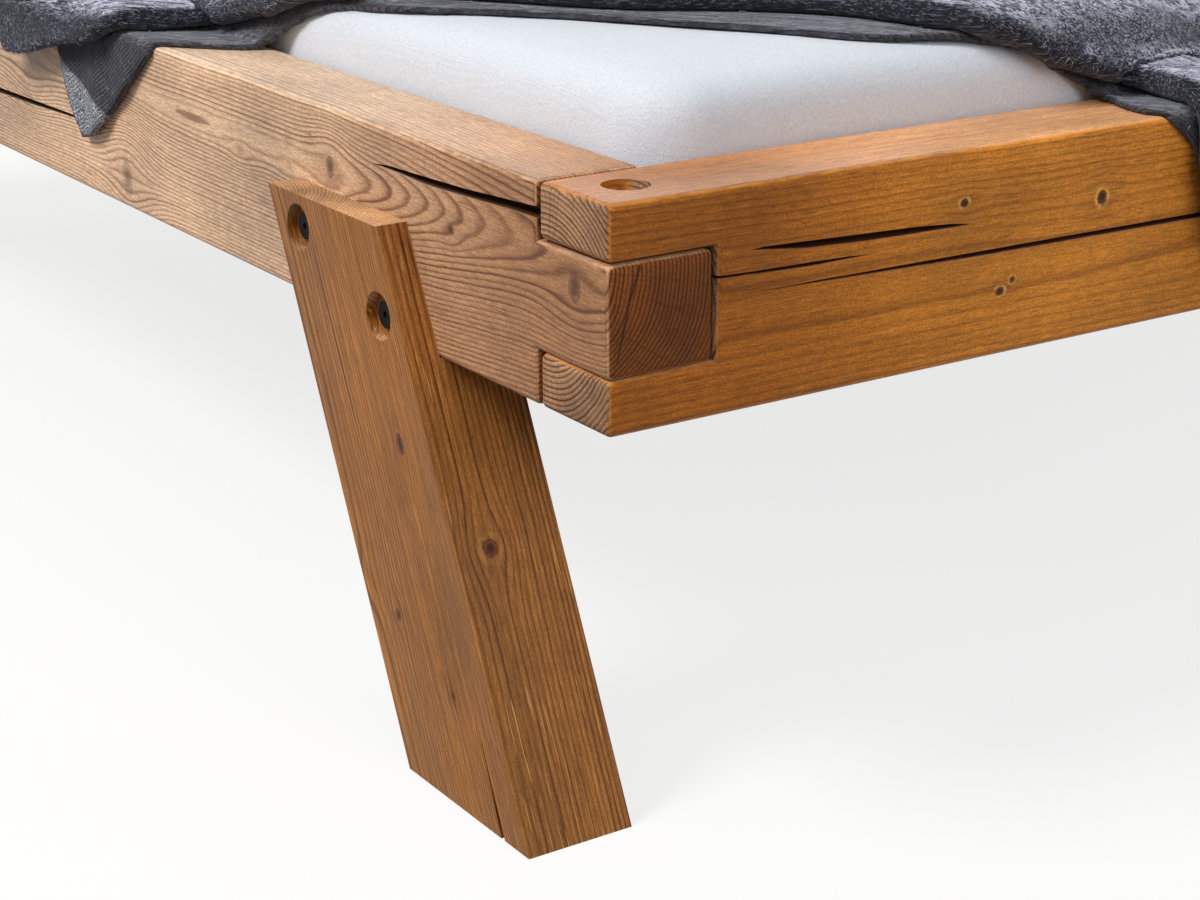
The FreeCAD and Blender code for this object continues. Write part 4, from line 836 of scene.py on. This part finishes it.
def spline(points):
    """One point per column at even spacing along a smooth curve through the given ones."""
    known = np.array([points[0]] + list(points) + [points[-1]], float)
    t = np.linspace(0, 1, SPLINE_STEPS, endpoint=False)[:, None]
    dense = []
    for number in range(1, len(known) - 2):
        before, first, last, after = known[number - 1:number + 3]
        dense.append(0.5 * (2 * first + (last - before) * t
                            + (2 * before - 5 * first + 4 * last - after) * t ** 2
                            + (3 * first - before - 3 * last + after) * t ** 3))
    dense = np.concatenate(dense + [known[-1:]])
    steps = np.concatenate([[0], np.cumsum(np.linalg.norm(np.diff(dense, axis=0), axis=1))])
    wanted = np.linspace(0, steps[-1], COLUMNS)
    return np.stack([np.interp(wanted, steps, dense[:, axis]) for axis in (0, 1)], 1)


LOWER_HEM = [
    (-99, 822), (-95, 803), (-84, 782), (-67, 759), (-45, 727), (-18, 691), (-4, 672), (4, 668), (25, 643),
    (50, 616), (67, 606), (75, 594), (84, 574), (90, 541), (95, 512), (107, 429), (136, 380), (165, 337),
    (212, 262), (254, 197), (292, 139), (330, 115), (377, 102), (404, 95), (428, 88), (448, 81), (468, 72),
    (474, 58), (466, 34), (464, 13), (470, 3), (477, -4), (489, -14), (501, -26), (508, -44), (513, -64),
    (540, -120), (590, -190), (650, -250)]
UPPER_EDGE = [
    (-38, 964), (-36, 938), (-33, 910), (-23, 867), (-9, 800), (-2, 748), (4, 722), (22, 708), (46, 694),
    (66, 673), (79, 632), (88, 575), (93, 543), (106, 480), (146, 407), (182, 343), (218, 294), (253, 266),
    (283, 241), (307, 216), (328, 184), (343, 145), (360, 111), (384, 97), (407, 90), (437, 83), (471, 72),
    (490, 54), (496, 32), (493, 8), (497, -10), (503, -50), (535, -112), (600, -180), (690, -240)]
BACK_FOLD = [(618, 1317), (760, 1128), (905, 920), (1052, 715), (1200, 512), (1381, 264)]
COLUMNS = 300
CLOTH_THICKNESS = 4.6
# Heights of the cloth's middle over the bed: the lower layer, and the turned hem that lies on it
LOWER_LIFT = 2.9
FLAP_LIFT = 8.2
FLAP_LENGTH = 58.0
FLAP_ROWS = 8
# The rounded edge is a roll that is squarer than a circle
ROLL_RADIUS = 8.6
ROLL_SQUARE = 0.65
ROLL_ROWS = 16
# The upper layer is about this long, and behind the turned hem it comes down over a short run
LAYER_LENGTH = 800
SETTLE_RUN = 60
BACK_PUFF = 1.6
BACK_ROWS = 8
LOWER_ROWS = 120
# The edge of the roll at the throw's left end is drawn back over about this many columns
BORDER_COLUMNS = 10
BRIDGE_REACH = 5
BRIDGE_ROUNDS = 3
# Each fold has a start, an end, a height and a half width
THROW_FOLDS = [
    ((250, 620), (620, 250), 9, 34), ((420, 760), (760, 380), 7, 46), ((560, 300), (690, 60), 12, 26),
    ((700, 420), (860, 60), 10, 32), ((520, 980), (930, 520), 8, 52), ((880, 640), (1100, 300), 9, 40),
    ((180, 900), (420, 820), 8, 30), ((120, 760), (330, 700), 7, 26), ((760, 900), (900, 840), 6, 38)]
FOLD_WANDER = 14
# Upright folds where the cloth hangs down: the crest of one, their spacing, and their depth at full drop
END_FOLDS = (560, 96, 17)
END_DROP = 250
SIDE_FOLDS = (845, 60, 5)
SIDE_DROP = 100


def fold_height(across, along):
    """Soft ridges along their lines, fading towards both ends."""
    total = np.zeros_like(across)
    for start, stop, height, width in THROW_FOLDS:
        start = np.array(start, float)
        run = np.array(stop, float) - start
        length = np.linalg.norm(run)
        run /= length
        along_run = (across - start[0]) * run[0] + (along - start[1]) * run[1]
        aside = (across - start[0]) * -run[1] + (along - start[1]) * run[0]
        aside = aside + FOLD_WANDER * np.sin(along_run / length * 5.1 + height)
        fade = np.clip(1 - (2 * along_run / length - 1) ** 2, 0, 1) ** 0.8
        total = total + height * fade * np.exp(-(aside / width) ** 2)
    return total


def hanging_folds(across, along):
    """Upright folds that open downwards where the cloth hangs over the end rail and the side rail."""
    drop = np.clip(-along, 0, END_DROP + 10)
    crest, pitch, depth = END_FOLDS
    wave = 0.5 + 0.5 * np.cos((across - crest) / pitch * 2 * math.pi + 0.6 * np.sin(drop / 90))
    end = drop / END_DROP * depth * wave
    side_drop = np.clip(-across, 0, SIDE_DROP)
    crest, pitch, depth = SIDE_FOLDS
    wave = 0.5 + 0.5 * np.cos((along - crest) / pitch * 2 * math.pi)
    side = side_drop / SIDE_DROP * depth * wave
    return end + side + 0.03 * drop + 0.02 * side_drop


def bridged(points, normal):
    """Points moved outwards where the thick upper layer would have to follow a hollow bend of the bed."""
    width = 3 * BRIDGE_REACH
    weights = np.exp(-0.5 * (np.arange(-width, width + 1) / BRIDGE_REACH) ** 2)
    weights /= weights.sum()
    padded = np.pad(points, ((0, 0), (width, width), (0, 0)), mode="reflect", reflect_type="odd")
    smooth = sum(weight * padded[:, start:start + points.shape[1]] for start, weight in enumerate(weights))
    rise = ((smooth - points) * normal).sum(-1, keepdims=True)
    return points + normal * np.maximum(rise, 0)


def throw_rows():
    """Each row's plan, its height over the bed and its share of the folds, and the number of upper rows."""
    lower, upper, back = spline(LOWER_HEM), spline(UPPER_EDGE), spline(BACK_FOLD)
    inward = unit(back - upper)
    near_border = np.exp(-np.arange(COLUMNS) / BORDER_COLUMNS)
    rows = []

    def add_row(plan, lift, relief):
        back_by = np.maximum(lift - FLAP_LIFT, 0) * near_border
        plan = np.stack([plan[:, 0], plan[:, 1] - back_by], 1)
        rows.append((plan, np.broadcast_to(lift, (COLUMNS,)), np.broadcast_to(relief, (COLUMNS,))))

    # The hem that is turned under, and the thick rounded edge
    for share in np.linspace(1, 0, FLAP_ROWS):
        add_row(upper + inward * (ROLL_RADIUS + FLAP_LENGTH * share), FLAP_LIFT, 0.25 * share)
    for angle in np.linspace(0, math.pi, ROLL_ROWS + 1)[1:]:
        forward = ROLL_RADIUS * (1 - abs(math.sin(angle)) ** ROLL_SQUARE)
        rise = ROLL_RADIUS * (1 - math.copysign(abs(math.cos(angle)) ** ROLL_SQUARE, math.cos(angle)))
        add_row(upper + inward * forward, FLAP_LIFT + rise, 0.0)
    # The upper layer, with its rows closest together near the roll
    for share in np.concatenate([np.linspace(0, 0.12, 14)[1:], np.linspace(0.12, 1, 74)[1:]]):
        plan = upper + (back - upper) * share + inward * ROLL_RADIUS * (1 - share)
        settle = eased((share * LAYER_LENGTH - FLAP_LENGTH * 0.55) / SETTLE_RUN)
        puff = BACK_PUFF + 1.4 * np.sin(plan[:, 0] / 61 + 2 * np.sin(plan[:, 1] / 83))
        lift = (FLAP_LIFT + 2 * ROLL_RADIUS) * (1 - settle) + (FLAP_LIFT + puff) * settle
        add_row(plan, lift, min(1.0, share * 6))
    upper_rows = len(rows)
    # Round the fold at the back, then the lower layer to its hem
    outward = unit(back - lower)
    middle = (FLAP_LIFT + BACK_PUFF + LOWER_LIFT) / 2
    radius = (FLAP_LIFT + BACK_PUFF - LOWER_LIFT) / 2
    for angle in np.linspace(0, math.pi, BACK_ROWS)[1:]:
        add_row(back + outward * radius * math.sin(angle), middle + radius * math.cos(angle), 1.0)
    for share in np.linspace(0, 1, LOWER_ROWS)[1:]:
        add_row(back + (lower - back) * share, LOWER_LIFT, min(1.0, (1 - share) * 6))
    plan, lift, relief = [np.array(part) for part in zip(*rows)]
    return plan, lift, relief, upper_rows


def throw_mesh():
    """The cloth's middle surface, its points with their outward directions, and the number of upper rows."""
    plan, lift, relief, upper_rows = throw_rows()
    across, along = plan[:, :, 0], plan[:, :, 1]
    move = lift + relief * fold_height(across, along) + hanging_folds(across, along)
    normal = surface_normal(across, along)
    points = bed_surface(across, along) + normal * move[:, :, None]
    for _ in range(BRIDGE_ROUNDS):
        points[:upper_rows] = bridged(points[:upper_rows], normal[:upper_rows])
    points = points / 1000 + np.array([-HALF_WIDTH, -HALF_LENGTH, RAIL_BOTTOM])
    item = add_mesh("wool_throw", points.reshape(-1, 3).tolist(), grid_faces(len(plan), COLUMNS))
    outward = unit(np.cross(np.gradient(points, axis=0), np.gradient(points, axis=1)))
    if outward[upper_rows // 2, :, 2].mean() < 0:
        outward = -outward
    return item, points, outward, upper_rows


# Loose fibres, in metres
FIBRES = 12000
FIBRE_RADIUS = 0.00016
# Draws below the first stand on the roll, above the second on the lower hem, others on the upper layer
ON_ROLL = 0.40
ON_HEM = 0.95
HEM_ROWS = 6
ROOT_DEPTH = 0.0004
# Each ring of a fibre has its share of the length and of the radius
FIBRE_RINGS = ((0.0, 1.0), (0.5, 0.9), (1.0, 0.35))
# The way of the throw's front edge, along which most hairs lie
HEM_WAY = Vector((-0.564, 0.826, 0.0))


def fuzz_mesh(points, outward, upper_rows):
    """Short loose fibres that stand off the roll, the upper layer near it, and the lower hem."""
    random = np.random.default_rng(11)
    kinds = random.random(FIBRES)
    on_hem = kinds > ON_HEM
    row = np.where(kinds < ON_ROLL, FLAP_ROWS + ROLL_ROWS * (0.45 + 0.75 * random.random(FIBRES) ** 0.5),
                   FLAP_ROWS + ROLL_ROWS + 2
                   + (upper_rows - FLAP_ROWS - ROLL_ROWS - 4) * random.random(FIBRES) ** 2.2 * 0.5)
    row = np.where(on_hem, len(points) - 1 - HEM_ROWS * random.random(FIBRES) ** 2, row).astype(int)
    column = random.integers(1, COLUMNS - 2, FIBRES)
    blend = random.random((FIBRES, 1))
    root = points[row, column] * (1 - blend) + points[row, column + 1] * blend
    normal = outward[row, column] * np.where(on_hem, -1.0, 1.0)[:, None]
    root = root + normal * (CLOTH_THICKNESS / 2000 - ROOT_DEPTH)
    sense = np.where(random.random(FIBRES) < 0.5, 1.0, -1.0)[:, None]
    heading = random.normal(0, 0.55, (FIBRES, 3)) + np.array(HEM_WAY) * sense
    heading = unit(heading - normal * (heading * normal).sum(1, keepdims=True))
    aside = np.cross(normal, heading)
    length = random.uniform(0.003, 0.008, (FIBRES, 1))
    high = random.uniform(0.0004, 0.0020, (FIBRES, 1))
    bow = random.normal(0, 0.0016, (FIBRES, 1))
    rings = []
    for share, thick in FIBRE_RINGS:
        centre = (root + heading * length * share + normal * high * math.sin(math.pi * share * 0.8)
                  + aside * bow * share * share)
        for angle in (0, 2 * math.pi / 3, 4 * math.pi / 3):
            spoke = normal * math.cos(angle) + aside * math.sin(angle)
            rings.append(centre + spoke * FIBRE_RADIUS * thick)
    corners = np.stack(rings, 1).reshape(-1, 3)
    sides = np.array(grid_faces(len(FIBRE_RINGS), 3, closed=True))
    ends = np.array([(2, 1, 0), (6, 7, 8)])
    first = len(rings) * np.arange(FIBRES)[:, None, None]
    faces = (sides + first).reshape(-1, 4).tolist() + (ends + first).reshape(-1, 3).tolist()
    return add_mesh("wool_fuzz", corners.tolist(), faces)


CROSSED_WAY = Vector((-0.80, 0.60, 0.0)).normalized()
RIB_WAY = (0.826, 0.564, 0.826)
RIB_PITCH = 0.0036
# The hanging corner's tip is turned over: past a slanting line, outside the side rail's face
TURNED_WAY = (0, 0.338, -0.941)
TURNED_FROM = -0.4776
TURNED_OUTSIDE = (-0.872, -0.878)
# Lighter grey ground of the wool's painted top light
TOP_LIGHT_GREY = (104, 107, 128)
HAIR = (220, 225, 246)


class Wool(Tree):
    """Melange wool: a dark ground, pale hairs mostly along the hem, and painted top light on faces that look
    up.
    """

    def __init__(self, name, low, high, hairs):
        super().__init__(name)
        self.low = low
        lying = self.drawn_out(HEM_WAY, self.dot(self.place, HEM_WAY), 20)
        crossed = self.drawn_out(CROSSED_WAY, self.dot(self.place, CROSSED_WAY), 10)
        self.clumps = self.noise(self.place, 110, 3, 0.65, 0.5)
        self.first = self.noise(lying, 760, 2, 0.6, 0.3)
        self.second = self.noise(crossed, 640, 2, 0.6, 0.4)
        # Painted top light: faces that look up get more pale hair and a lighter ground
        top_light_mask = self.step(self.dot(self.normal, UP), 0.35, 0.95)
        more = self.times(top_light_mask, 0.085)
        hair = self.largest(self.step(self.plus(self.first, more), 0.57, 0.62),
                            self.times(self.step(self.plus(self.second, more), 0.61, 0.66), 0.6))
        # Seen from above, the hairs lie together in strands, drawn only on faces that look up as part of
        # their painted top light
        broad = self.noise(lying, 230, 2, 0.55, 0.3)
        hair = self.largest(hair, self.times(self.step(broad, 0.50, 0.57), self.times(top_light_mask, 0.62)))
        hollow = self.times(self.step(broad, 0.47, 0.41), self.times(top_light_mask, 0.75))
        top_light_mask = self.math("MULTIPLY_ADD", top_light_mask, 0.8, 0.2)
        patches = self.step(self.clumps, 0.36, 0.56, 0.65, 1.0)
        self.hair = self.times(hair, self.minus(1.0, hollow), top_light_mask, self.times(patches, hairs))
        ground = self.mix(self.step(self.clumps, 0.36, 0.64), tone(*low), tone(*high))
        # Painted top light: a lighter grey ground on faces that look up
        ground = self.tinted(ground, tone(*TOP_LIGHT_GREY), top_light_mask, 0.20)
        gaps = self.largest(self.step(self.second, 0.45, 0.38), self.step(self.first, 0.42, 0.36))
        self.colour = self.tinted(ground, darker(low, 0.5), gaps, 0.8)
        self.height = self.plus(self.times(self.clumps, 1.2), self.times(self.first, 0.8))

    def add_ribs(self, share):
        across = self.plus(self.dot(self.place, RIB_WAY), self.swing(self.noise(self.place, 40), 0.004))
        wave = self.math("SINE", self.times(across, 2 * math.pi / RIB_PITCH))
        gap = self.times(self.step(wave, 0.1, 0.95), self.step(self.first, 0.40, 0.52, 0.3, 1.0))
        self.colour = self.tinted(self.colour, darker(self.low, 0.5), gap, share)
        self.height = self.minus(self.height, self.times(gap, 1.2))

    def add_hairs(self):
        self.colour = self.mix(self.hair, self.colour, tone(*HAIR))
        cloud = self.noise(self.place, 14, 3, 0.6)
        self.colour = self.tinted(self.colour, darker(self.low, 0.9), self.step(cloud, 0.42, 0.75), 0.35)

    def add_turned_tip(self):
        past = self.plus(self.dot(self.place, TURNED_WAY), self.swing(self.clumps, 0.004))
        zone = self.times(self.step(past, TURNED_FROM, TURNED_FROM + 0.002),
                          self.step(self.dot(self.place, ACROSS), *TURNED_OUTSIDE))
        nap = self.mix(self.step(self.second, 0.42, 0.62), tone(52, 53, 64), tone(226, 229, 238))
        nap = self.mix(self.step(self.clumps, 0.45, 0.65), nap, tone(150, 153, 166))
        self.colour = self.mix(zone, self.colour, nap)

    def done(self):
        return self.finish(Base_Color=self.colour, Roughness=1.0, Sheen_Weight=0.15, Sheen_Roughness=0.6,
                           Specular_IOR_Level=0.2, Normal=self.bump(self.height, 0.0025, 0.8))


def upper_wool():
    wool = Wool("grey_wool", (10, 10, 20), (31, 32, 52), 1.0)
    wool.add_hairs()
    return wool.done()


def under_wool():
    """The throw's other side is lighter and ribbed."""
    wool = Wool("grey_wool_under", (52, 50, 57), (84, 81, 89), 0.35)
    wool.add_ribs(0.75)
    wool.add_hairs()
    wool.add_turned_tip()
    return wool.done()


def wool_fibre():
    tree = Tree("grey_wool_fibre")
    shade = tree.noise(tree.place, 260, 2, 0.6)
    colour = tree.mix(tree.step(shade, 0.38, 0.62), tone(48, 49, 62), tone(184, 188, 206))
    return tree.finish(Base_Color=colour, Roughness=0.9, Specular_IOR_Level=0.2)


def throw():
    item, points, outward, upper_rows = throw_mesh()
    skin = item.modifiers.new("thickness", "SOLIDIFY")
    skin.thickness = CLOTH_THICKNESS / 1000
    skin.offset = 0
    dress(item, upper_wool())
    item.data.materials.append(under_wool())
    for number, face in enumerate(item.data.polygons):
        face.use_smooth = True
        face.material_index = int(number // (COLUMNS - 1) >= upper_rows)
    fuzz = fuzz_mesh(points, outward, upper_rows)
    dress(fuzz, wool_fibre())
    for piece in (item, fuzz):
        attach(piece, "bed")
    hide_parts("throw")


# Floor and light

FLOOR_HALF = 16
FLOOR_SHADES = ((0.20, 0.20, 0.20, 1), (0.18, 0.18, 0.18, 1))
FLOOR_GLOW = 0.795


def floor():
    """A floor that is white to the eye and in reflections, lights the bed little, and keeps its shadow."""
    corners = [(side_x * FLOOR_HALF, side_y * FLOOR_HALF, 0)
               for side_x, side_y in ((-1, -1), (1, -1), (1, 1), (-1, 1))]
    item = add_mesh("floor", corners, [(0, 1, 2, 3)])
    tree = Tree("floor")
    shade = tree.times(tree.noise(tree.place, 1.5), 0.05)
    diffuse = tree.fed(tree.node("ShaderNodeBsdfDiffuse"), Color=tree.mix(shade, *FLOOR_SHADES))
    rays = tree.node("ShaderNodeLightPath").outputs
    seen = tree.largest(rays["Is Glossy Ray"], rays["Is Transmission Ray"], rays["Is Camera Ray"])
    glow = tree.fed(tree.node("ShaderNodeEmission"), Strength=tree.times(seen, FLOOR_GLOW))
    both = tree.node("ShaderNodeAddShader")
    tree.links.new(diffuse.outputs[0], both.inputs[0])
    tree.links.new(glow.outputs[0], both.inputs[1])
    dress(item, tree.end_in("ShaderNodeOutputMaterial", both.outputs[0]))


# Strength of the world, and what is added where it is seen itself
WORLD_LIGHT = 0.38
WORLD_SEEN = 0.62


def lamp(name, place, target, size, energy, tint=(1, 1, 1)):
    data = bpy.data.lights.new(name, "AREA")
    data.shape = "DISK"
    data.size = size
    data.energy = energy
    data.color = tint
    item = add_item(name, data)
    item.location = place
    item.rotation_mode = "QUATERNION"
    item.rotation_quaternion = (Vector(target) - Vector(place)).to_track_quat("-Z", "Y")


def light():
    world = bpy.data.worlds.new("studio")
    bpy.context.scene.world = world
    studio = Nodes(world)
    rays = studio.node("ShaderNodeLightPath").outputs
    seen = studio.largest(rays["Is Camera Ray"], rays["Is Glossy Ray"])
    strength = studio.math("MULTIPLY_ADD", seen, WORLD_SEEN, WORLD_LIGHT)
    background = studio.fed(studio.node("ShaderNodeBackground"), Strength=strength)
    studio.end_in("ShaderNodeOutputWorld", background.outputs[0])
    lamp("key", (-4.5, -0.2, 4.6), (-0.6, -0.6, 0.4), 2.4, 265, (1.0, 0.985, 0.96))
    lamp("fill", (-0.5, -5.2, 2.6), (-0.3, -0.8, 0.3), 3.2, 66)
    lamp("back", (3.2, 4.2, 3.6), (0, 0, 0.4), 3.0, 70)


make_camera()
floor()
light()
dress_side_rails()
dress_end_rails()
dress_legs()
dress_slats()
dress_hardware()
mattress_and_sheet()
throw()

bpy.context.scene.view_settings.view_transform = "Standard"
